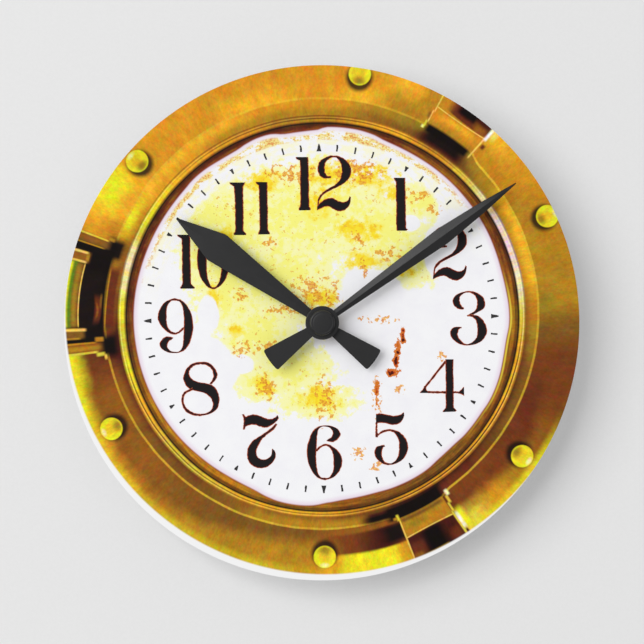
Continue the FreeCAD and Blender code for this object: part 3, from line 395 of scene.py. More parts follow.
# Colours round each pictured ring: (clockwise degrees from 12, palette name)
flange_outer = (
    (0, "amber"), (12, "amber"), (21, "gold"), (26, "copper"), (43, "gold"), (53, "amber"),
    (62, "copper"), (76, "ochre"), (84, "ochre"), (91, "umber"), (98, "chestnut"),
    (108, "chestnut"), (119, "bronze"), (129, "ochre"), (135, "amber"), (142, "straw"),
    (160, "amber"), (164, "lemon"), (173, "lemon"), (178, "amber"), (186, "ochre"), (215, "ochre"),
    (230, "copper"), (240, "amber"), (252, "lemon"), (262, "lemon"), (292, "amber"), (296, "gold"),
    (300, "lemon"), (305, "lemon"), (310, "amber"),
)
flange_inner = (
    (0, "amber"), (10, "gold"), (20, "ochre"), (26, "ochre"), (43, "copper"), (52, "copper"),
    (62, "ochre"), (76, "ochre"), (86, "olive"), (92, "umber"), (99, "chestnut"), (112, "russet"),
    (130, "chestnut"), (141, "chestnut"), (150, "maroon"), (164, "bronze"), (174, "bronze"),
    (190, "umber"), (206, "umber"), (230, "bronze"), (250, "bronze"), (257, "chestnut"),
    (264, "russet"), (292, "copper"), (302, "gold"), (312, "amber"), (326, "amber"), (342, "gold"),
)
cove_outer = (
    (0, "amber"), (24, "olive"), (43, "olive"), (50, "ochre"), (58, "gold"), (76, "gold"),
    (86, "copper"), (94, "olive"), (104, "umber"), (116, "umber"), (136, "russet"), (145, "russet"),
    (162, "ochre"), (172, "ochre"), (192, "ochre"), (212, "umber"), (230, "umber"), (250, "bronze"),
    (262, "russet"), (291, "amber"), (298, "lemon"), (308, "gold"), (318, "gold"), (330, "gold"),
    (344, "amber"),
)
cove_inner = (
    (0, "ochre"), (24, "umber"), (43, "umber"), (50, "olive"), (60, "ochre"), (76, "copper"),
    (88, "bronze"), (98, "russet"), (112, "maroon"), (146, "black"), (162, "black"),
    (172, "russet"), (190, "umber"), (206, "bronze"), (226, "russet"), (246, "russet"),
    (264, "maroon"), (290, "bronze"), (298, "copper"), (306, "amber"), (320, "amber"),
    (334, "ochre"), (346, "ochre"),
)
bead_colours = (
    (0, "ochre"), (20, "gold"), (34, "amber"), (46, "straw"), (54, "cream"), (60, "pink"),
    (72, "pink"), (80, "cream"), (88, "straw"), (100, "gold"), (120, "gold"), (140, "amber"),
    (152, "amber"), (165, "copper"), (182, "gold"), (200, "gold"), (225, "straw"), (245, "gold"),
    (256, "lemon"), (264, "straw"), (274, "lemon"), (284, "cream"), (290, "cream"), (295, "straw"),
    (302, "lemon"), (316, "gold"), (335, "amber"), (350, "ochre"),
)
reveal_colours = (
    (0, "russet"), (12, "bronze"), (20, "russet"), (34, "bronze"), (52, "bronze"), (66, "russet"),
    (78, "bronze"), (90, "ochre"), (100, "bronze"), (112, "bronze"), (124, "bronze"),
    (136, "umber"), (152, "umber"), (170, "bronze"), (186, "ochre"), (200, "copper"),
    (230, "copper"), (244, "copper"), (260, "bronze"), (276, "russet"), (304, "russet"),
    (330, "russet"), (346, "russet"),
)
# Outline of the white dial: (clockwise degrees, distance from the drawing's centre)
dial_edge = (
    (0, 193.5), (7, 195), (14, 194), (20, 191), (28, 190), (38, 189.6), (50, 188.6), (60, 187.6),
    (70, 186), (76, 185.4), (88, 186.2), (98, 183.4), (110, 184.2), (120, 182), (128, 180.6),
    (138, 178.4), (146, 179.8), (156, 179), (167, 177.4), (178, 179.4), (190, 183.6), (198, 182),
    (207, 179.4), (217, 180.2), (232, 182.8), (250, 185.6), (262, 187), (276, 188.4), (292, 188.8),
    (306, 189.6), (314, 190.6), (320, 192), (330, 191), (337, 193.4), (343, 194.6), (350, 191),
)
dial_reach_low, dial_reach_high = 170.0, 200.0
# Pictured rings: centre x and z, stretch of the height, radius
ring_places = {
    "step": (0.0, 9.9, 1.007, 215.6), "bead": (0.4, 7.0, 1.0135, 199.6),
    "groove": (1.0, 6.2, 1.011, 196.4), "plate": (4.0, 9.0, 1.0, 259.2),
}
whole_place = (1.0, 1.0, 1.0)
# Strengths round the turn, as (share of a full turn, value)
flange_start = (
    (0, 0.4), (0.14, 0.4), (0.3, 0.45), (0.35, 0.7), (0.375, 0.62), (0.39, 0.66), (0.43, 0.5),
    (0.47, 0.38), (0.5, 0.3), (0.6, 0.7), (0.69, 0.85), (0.73, 0.7), (0.8, 0.3), (1, 0.4),
)
seam_light = (
    (0, 0), (0.29, 0), (0.32, 0.25), (0.35, 0.75), (0.385, 0.6), (0.41, 0.1), (0.5, 0.15),
    (0.55, 0.4), (0.62, 0.45), (0.72, 0.4), (0.735, 0), (1, 0),
)
step_light = (
    (0, 0.45), (0.07, 0.35), (0.13, 0.85), (0.2, 0.8), (0.27, 0.6), (0.35, 0.65), (0.45, 0.65),
    (0.55, 0.75), (0.62, 0.7), (0.72, 0.5), (0.8, 0.75), (0.88, 0.6), (1, 0.45),
)
fold_shade = (
    (0, 0.7), (0.1, 0.5), (0.15, 0.1), (0.22, 0.1), (0.27, 0.6), (0.32, 0.95), (0.42, 0.9),
    (0.5, 0.6), (0.58, 0.6), (0.68, 0.8), (0.73, 0.1), (0.83, 0), (0.9, 0.5), (1, 0.7),
)
crown_light = (
    (0, 0.1), (0.12, 0.15), (0.16, 1), (0.24, 0.9), (0.3, 0.3), (0.42, 0.2), (0.5, 0.15),
    (0.6, 0.25), (0.7, 0.3), (0.74, 0.8), (0.82, 0.9), (0.88, 0.15), (1, 0.1),
)
lip_light = (
    (0, 0), (0.18, 0), (0.22, 0.45), (0.26, 0.9), (0.3, 0.75), (0.35, 0.2), (0.4, 0), (1, 0),
)

# Patches of the pictured lugs, in the order they are laid: clockwise degrees from and to,
# distances from and to, outward bow at both sides, softness in degrees, softness in
# distance, colour
lug_patches = (
    # upper right
    (26.6, 41.0, 205, 217, 0, 2.4, 4.0, "maroon"),
    (28.6, 39.6, 209, 226, 0, 1.6, 2.6, "black"),
    (27.8, 40.6, 216, 227, 0, 0.8, 2.6, "pitch"),
    (27.7, 41.5, 226, 262, 0, 0.2, 1.4, "copper"),
    (27.7, 41.5, 225, 230, 0, 0.3, 2.0, "ochre"),
    (29.0, 40.4, 230, 240, 0, 1.8, 4.0, "amber"),
    (30.8, 38.6, 234, 239.5, 0, 2.0, 2.6, "gold"),
    (28.1, 41.5, 242.6, 262, 2.4, 0.3, 1.0, "copper"),
    (31.0, 41.5, 243, 262, 2.4, 1.2, 1.2, "russet"),
    (32.6, 41.3, 247.5, 262, 1.0, 0.8, 2.2, "maroon"),
    (32.8, 37.6, 249, 262, 1.0, 0.9, 2.4, "pitch"),
    (37.8, 40.8, 243, 251, 1.0, 1.0, 3.0, "bronze"),
    (28.0, 41.4, 241.0, 242.0, 2.4, 0.2, 0.6, "honey"),
    (27.85, 28.15, 238, 262, 0, 0.16, 1.5, "honey"),
    (27.5, 27.8, 226, 239, 0, 0.16, 1.5, "honey"),
    (27.0, 27.5, 221, 227, 0, 0.2, 1.5, "straw"),
    (26.6, 27.3, 218.5, 221.5, 0, 0.3, 0.9, "cream"),
    (26.8, 27.5, 230, 236, 0, 0.5, 1.6, "umber"),
    (41.2, 41.6, 219, 243, 0, 0.18, 1.5, "honey"),
    (41.3, 42.0, 243, 262, 0, 0.3, 2.0, "white"),
    (42.2, 43.4, 247, 262, 0, 0.5, 3.0, "honey"),
    (41.9, 42.9, 234, 239, 0, 0.4, 1.6, "russet"),
    # lower right
    (158.0, 179.0, 213, 233, 0, 5.0, 2.0, "chestnut"),
    (158.0, 169.0, 213, 233, 0, 5.0, 1.6, "maroon"),
    (157.0, 164.0, 214, 230, 0, 2.0, 3.0, "black"),
    (146.0, 168.0, 196, 207, 0, 2.4, 3.0, "maroon"),
    (144.8, 161.6, 197.5, 211, 0, 1.2, 2.0, "pitch"),
    (158.0, 168.0, 200, 206.0, 0, 2.6, 2.0, "pitch"),
    (145.6, 158.8, 210.5, 262, 0, 0.25, 1.4, "ochre"),
    (146.0, 158.4, 211, 215, 0, 0.8, 2.0, "umber"),
    (147.0, 157.6, 219, 227, 0, 2.0, 2.6, "copper"),
    (151.6, 157.0, 217, 224, 0, 2.0, 2.6, "olive"),
    (145.8, 158.7, 229.6, 262, 2.0, 0.3, 1.0, "maroon"),
    (149.6, 155.0, 230, 262, 1.4, 1.4, 3.0, "pitch"),
    (155.2, 158.5, 238, 262, 0, 0.8, 4.0, "russet"),
    (156.2, 158.5, 249, 262, 0, 0.6, 3.0, "bronze"),
    (150.0, 156.0, 252.5, 262, 0, 0.5, 1.2, "olive"),
    (151.4, 154.6, 254.0, 262, 0, 0.5, 1.0, "straw"),
    (146.0, 148.6, 243, 262, 0, 0.8, 4.0, "russet"),
    (145.8, 158.7, 228.4, 229.4, 2.0, 0.25, 0.6, "honey"),
    (143.2, 145.2, 229, 250, 0, 0.8, 5.0, "lemon"),
    (144.5, 145.3, 232, 248, 0, 0.3, 4.0, "white"),
    (144.7, 145.3, 250, 258, 0, 0.25, 2.0, "maroon"),
    (145.4, 145.75, 228, 262, 0, 0.14, 2.0, "straw"),
    (144.9, 145.4, 219, 229, 0, 0.2, 1.6, "straw"),
    (144.2, 144.9, 212, 220, 0, 0.25, 1.6, "straw"),
    (143.4, 144.3, 206.5, 212.5, 0, 0.35, 1.4, "cream"),
    (158.55, 158.9, 212, 262, 0, 0.16, 1.5, "honey"),
    (158.6, 159.3, 206, 212, 0, 0.3, 1.2, "straw"),
    (159.2, 160.2, 208, 210.6, 0, 0.4, 1.0, "ochre"),
    # left
    (260.6, 267.2, 204, 214, 0, 1.4, 3.0, "maroon"),
    (261.0, 266.6, 206, 224, 0, 1.3, 4.0, "pitch"),
    (286.4, 292.2, 210, 228, 0, 1.4, 4.0, "black"),
    (263.4, 290.8, 217, 262, 0, 0.5, 3.0, "pitch"),
    (268.4, 283.0, 223, 250, 0, 1.5, 4.0, "black"),
    (262.6, 264.8, 222, 262, 0, 0.4, 5.0, "bronze"),
    (263.2, 264.2, 224, 260, 0, 0.4, 5.0, "ochre"),
    (262.3, 262.8, 226, 262, 0, 0.18, 2.5, "straw"),
    (261.4, 262.3, 219, 227, 0, 0.3, 1.6, "straw"),
    (260.4, 261.6, 217, 219.6, 0, 0.4, 0.9, "honey"),
    (264.7, 265.1, 227, 262, 0, 0.18, 3.0, "copper"),
    (265.1, 266.2, 219, 227, 0, 0.3, 1.6, "ochre"),
    (288.8, 290.9, 226, 262, 0, 0.4, 4.0, "umber"),
    (289.4, 290.2, 232, 262, 0, 0.4, 4.0, "bronze"),
    (290.6, 291.0, 228, 262, 0, 0.16, 2.0, "straw"),
    (291.0, 291.8, 222, 229, 0, 0.3, 1.6, "ochre"),
    (288.5, 288.8, 230, 262, 0, 0.14, 3.0, "ochre"),
    (266.2, 268.5, 238, 262, 0, 0.5, 3.0, "umber"),
    (267.9, 268.5, 236, 262, 0, 0.25, 2.0, "honey"),
    (266.0, 266.4, 242, 262, 0, 0.2, 2.0, "ochre"),
    (284.2, 286.6, 241, 262, 0, 0.5, 3.0, "bronze"),
    (284.0, 284.5, 243, 262, 0, 0.18, 2.0, "honey"),
    (286.2, 286.7, 243, 262, 0, 0.18, 2.0, "honey"),
    (284.6, 286.2, 241, 244, 0, 0.4, 1.0, "ochre"),
    (269.0, 283.8, 244.5, 262, -0.6, 0.4, 1.4, "umber"),
    (269.6, 283.2, 246.5, 251, -0.6, 1.5, 2.0, "olive"),
    (269.0, 283.8, 243.4, 244.5, -0.6, 0.4, 0.6, "honey"),
    (268.8, 284.0, 251.5, 262, -0.6, 0.5, 2.0, "green"),
    (269.0, 283.8, 255.4, 262, -0.6, 0.5, 1.8, "lemon"),
    (267.6, 285.0, 207.6, 217, 0, 2.0, 2.0, "russet"),
    (268.4, 283.6, 215.8, 217.0, 0.8, 1.4, 0.6, "ochre"),
    (270.2, 276.4, 221.0, 227.0, 1.5, 1.2, 1.6, "russet"),
    (271.4, 274.6, 223.4, 225.4, 1.0, 1.0, 0.9, "bronze"),
    (273.8, 277.0, 220.8, 222.8, 0, 0.8, 0.8, "umber"),
)

# Where a lug pushes the step line outwards: clockwise degrees from and to, softness, push
step_swells = ((31.0, 42.6, 2.8, 5.0), (144.6, 159.6, 2.6, 4.0))
# the distance is held inside its window there, so that only the degrees count
swell_place = 217.0
swell_window = (200.0, 230.0)

# Mottling of red, green and blue: how far off each reads its noise, least and most share
mottle_channels = ((0.0, 0.80, 1.2), (40.0, 0.74, 1.24), (80.0, 0.3, 1.36))

# Rivets on the pictured flange: clockwise degrees and distance about the plate's centre
rivet_degrees = (8.1, 66.1, 125.8, 180.2, 241.9, 309.1)
rivet_distance = 241.8
rivet_half_width = 12.0

# Stains on the dial: x, z, half width and half height in drawing units
pale_stains = (
    (-10, 110, 122, 64), (-85, 95, 64, 62), (-92, 40, 46, 64), (-45, 45, 80, 62),
    (-62, -10, 48, 40), (-30, -45, 52, 36), (-5, -78, 52, 20), (-62, -62, 28, 20), (62, 92, 54, 52),
    (-112, 108, 36, 34), (-122, 66, 26, 40), (88, 60, 38, 30), (92, 50, 18, 13), (102, 122, 30, 28),
    (70, 4, 26, 9),
)
bare_stains = (
    (50, 36, 32, 20), (78, -6, 62, 40), (20, -24, 16, 12), (146, 116, 34, 44), (-118, -44, 34, 30),
    (112, 70, 12, 26), (-112, 12, 12, 22), (-78, -40, 12, 10), (88, 100, 12, 10),
)
deep_stains = (
    (30, 148, 68, 20), (32, 94, 26, 16), (44, 62, 28, 14), (84, 54, 16, 10), (-108, 22, 10, 24),
    (-4, 122, 24, 22), (-60, 142, 28, 14), (0, 25, 28, 15), (0, -72, 28, 18), (-56, -62, 15, 12),
    (52, 88, 14, 16), (-86, -8, 11, 10), (-96, 84, 12, 20), (70, 128, 18, 12),
)
rust_stains = (
    (34, 152, 32, 16), (-30, 150, 28, 13), (-6, 30, 32, 19), (-14, 40, 26, 10), (2, -76, 13, 28),
    (-56, -64, 12, 14), (-76, -26, 16, 9), (-50, -22, 26, 8), (36, 86, 8, 13), (66, 70, 16, 9),
    (42, 56, 5, 12), (-52, 80, 9, 7), (-82, 30, 9, 8), (58, 4, 22, 5), (36, -130, 9, 9),
    (54, -142, 10, 5), (55, -74, 6, 22), (78, -66, 6, 6), (120, -34, 5, 8), (96, 128, 14, 9),
    (112, 112, 9, 7), (-40, 14, 22, 5),
)
streak_stains = (
    (81, -15, 3, 12), (77, -26, 4, 13), (74, -38, 4, 13), (71, -49, 8, 6), (55, -68, 3, 12),
)
# Blender's own limit, past which it leaves stops out without a word
most_ramp_stops = 32


class Shader:
    """Writes a chain of shader nodes in one tree; most methods return an output socket."""

    def __init__(self, tree):
        self.tree = tree

    def node(self, kind, feeds=None, **settings):
        """New node with its settings; feeds gives values or sockets by input name or number."""
        made = self.tree.nodes.new(kind)
        for key, value in settings.items():
            setattr(made, key, value)
        for socket, value in (feeds or {}).items():
            self.feed(made.inputs[socket], value)
        return made

    def feed(self, socket, value):
        if isinstance(value, bpy.types.NodeSocket):
            self.tree.links.new(value, socket)
        elif socket.type == "RGBA":
            socket.default_value = tuple(value)[:3] + (1.0,)
        else:
            socket.default_value = value

    def math(self, operation, *values):
        feeds = dict(enumerate(values))
        return self.node("ShaderNodeMath", feeds, operation=operation).outputs[0]

    plus = partialmethod(math, "ADD")
    minus = partialmethod(math, "SUBTRACT")
    times = partialmethod(math, "MULTIPLY")
    over = partialmethod(math, "DIVIDE")
    more = partialmethod(math, "MAXIMUM")
    less = partialmethod(math, "MINIMUM")
    size = partialmethod(math, "ABSOLUTE")

    def length(self, first, second):
        """sqrt(first^2 + second^2)"""
        return self.math("SQRT", self.plus(self.times(first, first), self.times(second, second)))

    def mix(self, factor, first, second, blend="MIX"):
        feeds = {0: factor, 6: first, 7: second}
        return self.node("ShaderNodeMix", feeds, data_type="RGBA", blend_type=blend).outputs[2]

    def between(self, value, low, high, to_low=0.0, to_high=1.0, smooth=True):
        """Goes from to_low at low to to_high at high, and stays there beyond."""
        feeds = dict(enumerate((value, low, high, to_low, to_high)))
        kind = "SMOOTHSTEP" if smooth else "LINEAR"
        return self.node("ShaderNodeMapRange", feeds, interpolation_type=kind).outputs[0]

    def fade(self, value, low, high, most=1.0):
        """Falls from most at low to nothing at high."""
        return self.between(value, low, high, most, 0.0)

    def line(self, value, middle, inner, outer, most=1.0):
        """Soft line about a middle value: most within inner of it, nothing beyond outer."""
        return self.fade(self.size(self.plus(value, -middle)), inner, outer, most)

    def coat(self, colour, mask, strength, paint):
        """Colour with a paint over it where the mask is, at a strength."""
        return self.mix(self.times(mask, strength), colour, paint)

    def noise(self, vector, scale, detail=3.0, roughness=0.55):
        feeds = {"Vector": vector, "Scale": scale, "Detail": detail, "Roughness": roughness}
        return self.node("ShaderNodeTexNoise", feeds, noise_dimensions="3D").outputs[0]

    def ramp(self, factor, stops, interpolation="EASE"):
        if len(stops) > most_ramp_stops:
            raise ValueError("a colour ramp holds at most %d stops" % most_ramp_stops)
        made = self.node("ShaderNodeValToRGB", {0: factor})
        made.color_ramp.interpolation = interpolation
        elements = made.color_ramp.elements
        while len(elements) > 1:
            elements.remove(elements[-1])
        elements[0].position = stops[0][0]
        elements[0].color = tuple(stops[0][1]) + (1.0,)
        for position, colour in stops[1:]:
            elements.new(position).color = tuple(colour) + (1.0,)
        return made.outputs[0]

    def curve(self, factor, points):
        made = self.node("ShaderNodeFloatCurve", {"Factor": 1.0, "Value": factor})
        line = made.mapping.curves[0]
        for index, (x, y) in enumerate(points):
            if index < 2:
                line.points[index].location = (x, y)
            else:
                line.points.new(x, y)
        made.mapping.use_clip = False
        made.mapping.update()
        return made.outputs[0]

    def group(self, tree, **values):
        feeds = {name.replace("_", " "): value for name, value in values.items()}
        return self.node("ShaderNodeGroup", feeds, node_tree=tree).outputs

    def moved(self, vector, amount):
        """Vector moved by the same amount along each axis, to read a noise elsewhere."""
        feeds = {0: vector, 1: (amount, amount, amount)}
        return self.node("ShaderNodeVectorMath", feeds, operation="ADD").outputs[0]

    def bump(self, height, strength, distance):
        feeds = {"Strength": strength, "Distance": distance, "Height": height}
        return self.node("ShaderNodeBump", feeds).outputs[0]

    def object_place(self):
        return self.node("ShaderNodeTexCoord").outputs["Object"]

    def object_parts(self):
        """The x, y and z of a point in Object coordinates."""
        parts = self.node("ShaderNodeSeparateXYZ")
        self.feed(parts.inputs[0], self.object_place())
        return parts.outputs


def new_group(name, inputs, outputs):
    """Empty shader group; inputs and outputs are (socket name, kind) pairs."""
    tree = bpy.data.node_groups.new(name, "ShaderNodeTree")
    kinds = {"number": "NodeSocketFloat", "place": "NodeSocketVector", "colour": "NodeSocketColor"}
    for title, kind in inputs:
        tree.interface.new_socket(name=title, in_out="INPUT", socket_type=kinds[kind])
    for title, kind in outputs:
        tree.interface.new_socket(name=title, in_out="OUTPUT", socket_type=kinds[kind])
    shader = Shader(tree)
    entry = shader.node("NodeGroupInput")
    leave = shader.node("NodeGroupOutput")
    return shader, entry.outputs, leave.inputs


def drawing_group():
    """Object place to drawing units: ((x - origin x) / unit, (z - origin z) / unit)."""
    shader, _, leave = new_group(
        "clock_drawing", (), (("X", "number"), ("Z", "number"), ("Flat", "place")))
    parts = shader.object_parts()
    x = shader.over(shader.minus(parts[0], axis_x + drawing_shift[0] * unit), unit)
    z = shader.over(shader.minus(parts[2], axis_z + drawing_shift[1] * unit), unit)
    flat = shader.node("ShaderNodeCombineXYZ", {0: x, 1: z}).outputs[0]
    for name, value in (("X", x), ("Z", z), ("Flat", flat)):
        shader.feed(leave[name], value)
    return shader.tree


def polar_group():
    """Distance sqrt(dx^2 + (stretch dz)^2) and clockwise turn from 12 in degrees."""
    shader, entry, leave = new_group(
        "clock_polar",
        (("X", "number"), ("Z", "number"), ("Centre X", "number"), ("Centre Z", "number"),
         ("Stretch", "number")),
        (("Distance", "number"), ("Degrees", "number")))
    dx = shader.minus(entry["X"], entry["Centre X"])
    dz = shader.minus(entry["Z"], entry["Centre Z"])
    tall = shader.times(dz, entry["Stretch"])
    square = shader.plus(shader.times(dx, dx), shader.times(tall, tall))
    turn = shader.over(shader.math("ARCTAN2", dx, dz), 2 * math.pi)
    shader.feed(leave["Distance"], shader.math("SQRT", square))
    shader.feed(leave["Degrees"], shader.times(shader.math("FRACT", turn), full_turn))
    return shader.tree


def patch_group():
    """Soft-edged patch in degrees and distance: the product of two soft windows. The window
    in distance moves out by bow times the squared share of the way from middle to side."""
    shader, entry, leave = new_group(
        "clock_patch",
        [(name, "number") for name in ("Degrees", "Distance", "From", "To", "Near", "Far", "Bow",
                                       "Side", "End")],
        (("Mask", "number"),))
    middle = shader.times(shader.plus(entry["From"], entry["To"]), 0.5)
    half = shader.times(shader.minus(entry["To"], entry["From"]), 0.5)
    off = shader.minus(entry["Degrees"], middle)
    share = shader.over(off, half)
    shift = shader.times(shader.times(share, share), entry["Bow"])
    distance = shader.minus(entry["Distance"], shift)
    past = shader.minus(shader.size(off), half)
    side = shader.between(past, shader.times(entry["Side"], -1.0), entry["Side"], 1.0, 0.0)
    reach = shader.times(shader.minus(entry["Far"], entry["Near"]), 0.5)
    centre = shader.times(shader.plus(entry["Far"], entry["Near"]), 0.5)
    beyond = shader.minus(shader.size(shader.minus(distance, centre)), reach)
    end = shader.between(beyond, shader.times(entry["End"], -1.0), entry["End"], 1.0, 0.0)
    shader.feed(leave["Mask"], shader.times(side, end))
    return shader.tree


def stain_group():
    """Height of a stain: 1 - sqrt((dx / half width)^2 + (dz / half height)^2)."""
    shader, entry, leave = new_group(
        "clock_stain",
        [(name, "number") for name in ("X", "Z", "Centre X", "Centre Z", "Wide", "High")],
        (("Height", "number"),))
    dx = shader.over(shader.minus(entry["X"], entry["Centre X"]), entry["Wide"])
    dz = shader.over(shader.minus(entry["Z"], entry["Centre Z"]), entry["High"])
    square = shader.plus(shader.times(dx, dx), shader.times(dz, dz))
    shader.feed(leave["Height"], shader.minus(1.0, shader.math("SQRT", square)))
    return shader.tree


def grain_group():
    """Moulded or milled grain: two noises, coarse for colour and fine for height."""
    shader, entry, leave = new_group(
        "clock_grain",
        (("Coarse Scale", "number"), ("Fine Scale", "number"), ("Stretch", "place")),
        (("Coarse", "number"), ("Fine", "number")))
    scaled = shader.node("ShaderNodeVectorMath", operation="MULTIPLY")
    shader.feed(scaled.inputs[0], shader.object_place())
    shader.feed(scaled.inputs[1], entry["Stretch"])
    place = scaled.outputs[0]
    shader.feed(leave["Coarse"], shader.noise(place, entry["Coarse Scale"], 4.0, 0.6))
    shader.feed(leave["Fine"], shader.noise(place, entry["Fine Scale"], 2.0, 0.5))
    return shader.tree


def start_material(name, **plain):
    """New material with its chain writer and its Principled BSDF's inputs, some of them plain."""
    material = bpy.data.materials.new(name)
    material.use_nodes = True
    surface = material.node_tree.nodes["Principled BSDF"].inputs
    for title, value in plain.items():
        surface[title.replace("_", " ")].default_value = value
    return material, Shader(material.node_tree), surface


def tone(name):
    """Linear colour of a palette name."""
    value = np.array(palette[name], float) / 255.0
    linear = np.where(value <= 0.04045, value / 12.92, ((value + 0.055) / 1.055) ** 2.4)
    return tuple(float(part) for part in linear)


def round_stops(table):
    """Ramp stops over a full turn, closed so that the ends meet."""
    stops = [(degrees / full_turn, tone(name)) for degrees, name in table]
    return stops[:most_ramp_stops - 1] + [(1.0, stops[0][1])]


def ring_about(shader, drawing, polar, centre_x, centre_z, stretch):
    """Distance and degrees about one ring's centre."""
    return shader.group(polar, X=drawing["X"], Z=drawing["Z"], Centre_X=centre_x,
                        Centre_Z=centre_z, Stretch=stretch)


def paint_brass(shader, drawing, polar, patch):
    """The pictured porthole: flange, step line, cove, bead, groove and reveal, each coloured
    round the turn, with lugs, rivets and mottling laid over them. Distances are in drawing
    units, and every pair of them in between, fade and line is a soft edge."""
    rings = {name: ring_about(shader, drawing, polar, *place[:3])
             for name, place in ring_places.items()}
    whole = ring_about(shader, drawing, polar, *whole_place)
    degrees = whole["Degrees"]
    turn = shader.over(degrees, full_turn)

    def past(name):
        return shader.minus(rings[name]["Distance"], ring_places[name][3])

    def painted(table):
        return shader.ramp(turn, round_stops(table))

    def patched(distance, start, stop, near, far, bow, side, end):
        return shader.group(patch, Degrees=degrees, Distance=distance, From=start, To=stop,
                            Near=near, Far=far, Bow=bow, Side=side, End=end)[0]

    # slow wander of every edge, so that no ring is drawn by compass
    wander = shader.minus(shader.noise(drawing["Flat"], 0.035, 2.0), 0.5)
    sway = shader.times(wander, 2.4)
    step = past("step")
    swells = [shader.times(patched(swell_place, start, stop, *swell_window, 0.0, side, 1.0), push)
              for start, stop, side, push in step_swells]
    for swell in swells:
        step = shader.minus(step, swell)
    step = shader.plus(step, shader.times(sway, 0.5))
    bead = shader.plus(past("bead"), shader.times(sway, 0.4))
    groove = past("groove")
    # flange
    ragged = shader.times(shader.minus(shader.noise(drawing["Flat"], 0.05, 2.0), 0.5), 12.0)
    spread = shader.plus(step, ragged)
    begin = shader.times(shader.curve(turn, flange_start), 30.0)
    outward = shader.between(shader.minus(spread, begin), -3.0, 16.0)
    colour = shader.mix(outward, painted(flange_inner), painted(flange_outer))
    # cove between the step line and the bead
    inward = shader.between(shader.plus(step, shader.times(wander, 5.0)), -14.0, -3.0)
    cove = shader.mix(inward, painted(cove_inner), painted(cove_outer))
    colour = shader.mix(shader.between(step, -1.2, 0.8), cove, colour)
    # bright seam along the picture's own edge
    seam = shader.between(rings["plate"]["Distance"], 249.5, 257.5)
    colour = shader.coat(colour, seam, shader.curve(turn, seam_light), tone("lemon"))
    # step line
    shine = shader.curve(turn, step_light)
    shine = shader.times(shader.line(step, 0.6, 0.4, 1.7), shine)
    colour = shader.mix(shine, colour, shader.mix(0.5, tone("gold"), tone("straw")))
    # bead with a lit crown between two darker flanks
    crown = painted(bead_colours)
    ridge = shader.fade(shader.size(bead), 1.5, 3.4)
    flank = shader.mix(ridge, shader.mix(0.72, crown, tone("russet")), crown)
    fold = shader.line(bead, 0.4, 0.2, 1.1)
    flank = shader.coat(flank, fold, shader.curve(turn, fold_shade), tone("maroon"))
    gleam = shader.line(bead, 1.6, 0.1, 0.9, 0.8)
    gleam = shader.times(gleam, shader.curve(turn, crown_light))
    flank = shader.mix(gleam, flank, shader.mix(0.6, crown, tone("cream")))
    colour = shader.mix(shader.fade(bead, 3.2, 4.6), colour, flank)
    # dark groove inside the bead, then the reveal
    reveal = painted(reveal_colours)
    worn = shader.noise(ring_place(shader, whole, 40.0, 0.9), 0.3, 3.0, 0.6)
    reveal = shader.coat(reveal, shader.between(worn, 0.35, 0.75), 0.4, tone("copper"))
    shaded = shader.noise(ring_place(shader, whole, 25.0, 1.3), 0.4, 2.0)
    reveal = shader.coat(reveal, shader.between(shaded, 0.4, 0.7), 0.45, tone("maroon"))
    reveal = shader.mix(shader.line(groove, -3.4, 0.3, 1.9, 0.6), reveal, tone("maroon"))
    sunk = shader.mix(shader.between(groove, -4.0, -0.5), reveal, tone("black"))
    colour = shader.mix(shader.fade(groove, -0.9, 0.9), colour, sunk)
    # lugs
    for *shape, name in lug_patches:
        colour = shader.mix(patched(whole["Distance"], *shape), colour, tone(name))
    colour = paint_rivets(shader, rings["plate"], colour)
    return paint_mottle(shader, whole, colour), whole, rings["plate"]


def ring_place(shader, whole, around, across):
    """Place for a noise that follows the rings: (around sin a, around cos a, across distance)."""
    angle = shader.math("RADIANS", whole["Degrees"])
    place = shader.node("ShaderNodeCombineXYZ")
    shader.feed(place.inputs[0], shader.times(shader.math("SINE", angle), around))
    shader.feed(place.inputs[1], shader.times(shader.math("COSINE", angle), around))
    shader.feed(place.inputs[2], shader.times(whole["Distance"], across))
    return place.outputs[0]


def paint_mottle(shader, whole, colour):
    """Red and green blotches with fine specks in them, slightly drawn out towards the centre:
    the noises multiply the colour, so that black stays black."""
    place = ring_place(shader, whole, 220.0, 0.6)

    def cloud(at, scale, detail, roughness, low, high, least, most):
        noise = shader.noise(at, scale, detail, roughness)
        return shader.between(noise, low, high, least, most, smooth=False)

    brush = cloud(place, 0.05, 3.0, 0.6, 0.25, 0.75, 0.84, 1.1)
    tint = shader.node("ShaderNodeCombineColor")
    for channel, (away, least, most) in enumerate(mottle_channels):
        near = shader.moved(place, away)
        blotch = cloud(near, 0.14, 3.0, 0.8, 0.28, 0.72, least, most)
        speck = cloud(near, 0.5, 2.0, 0.6, 0.25, 0.75, 0.84, 1.16)
        shader.feed(tint.inputs[channel], shader.times(shader.times(blotch, speck), brush))
    return shader.mix(1.0, colour, tint.outputs[0], "MULTIPLY")


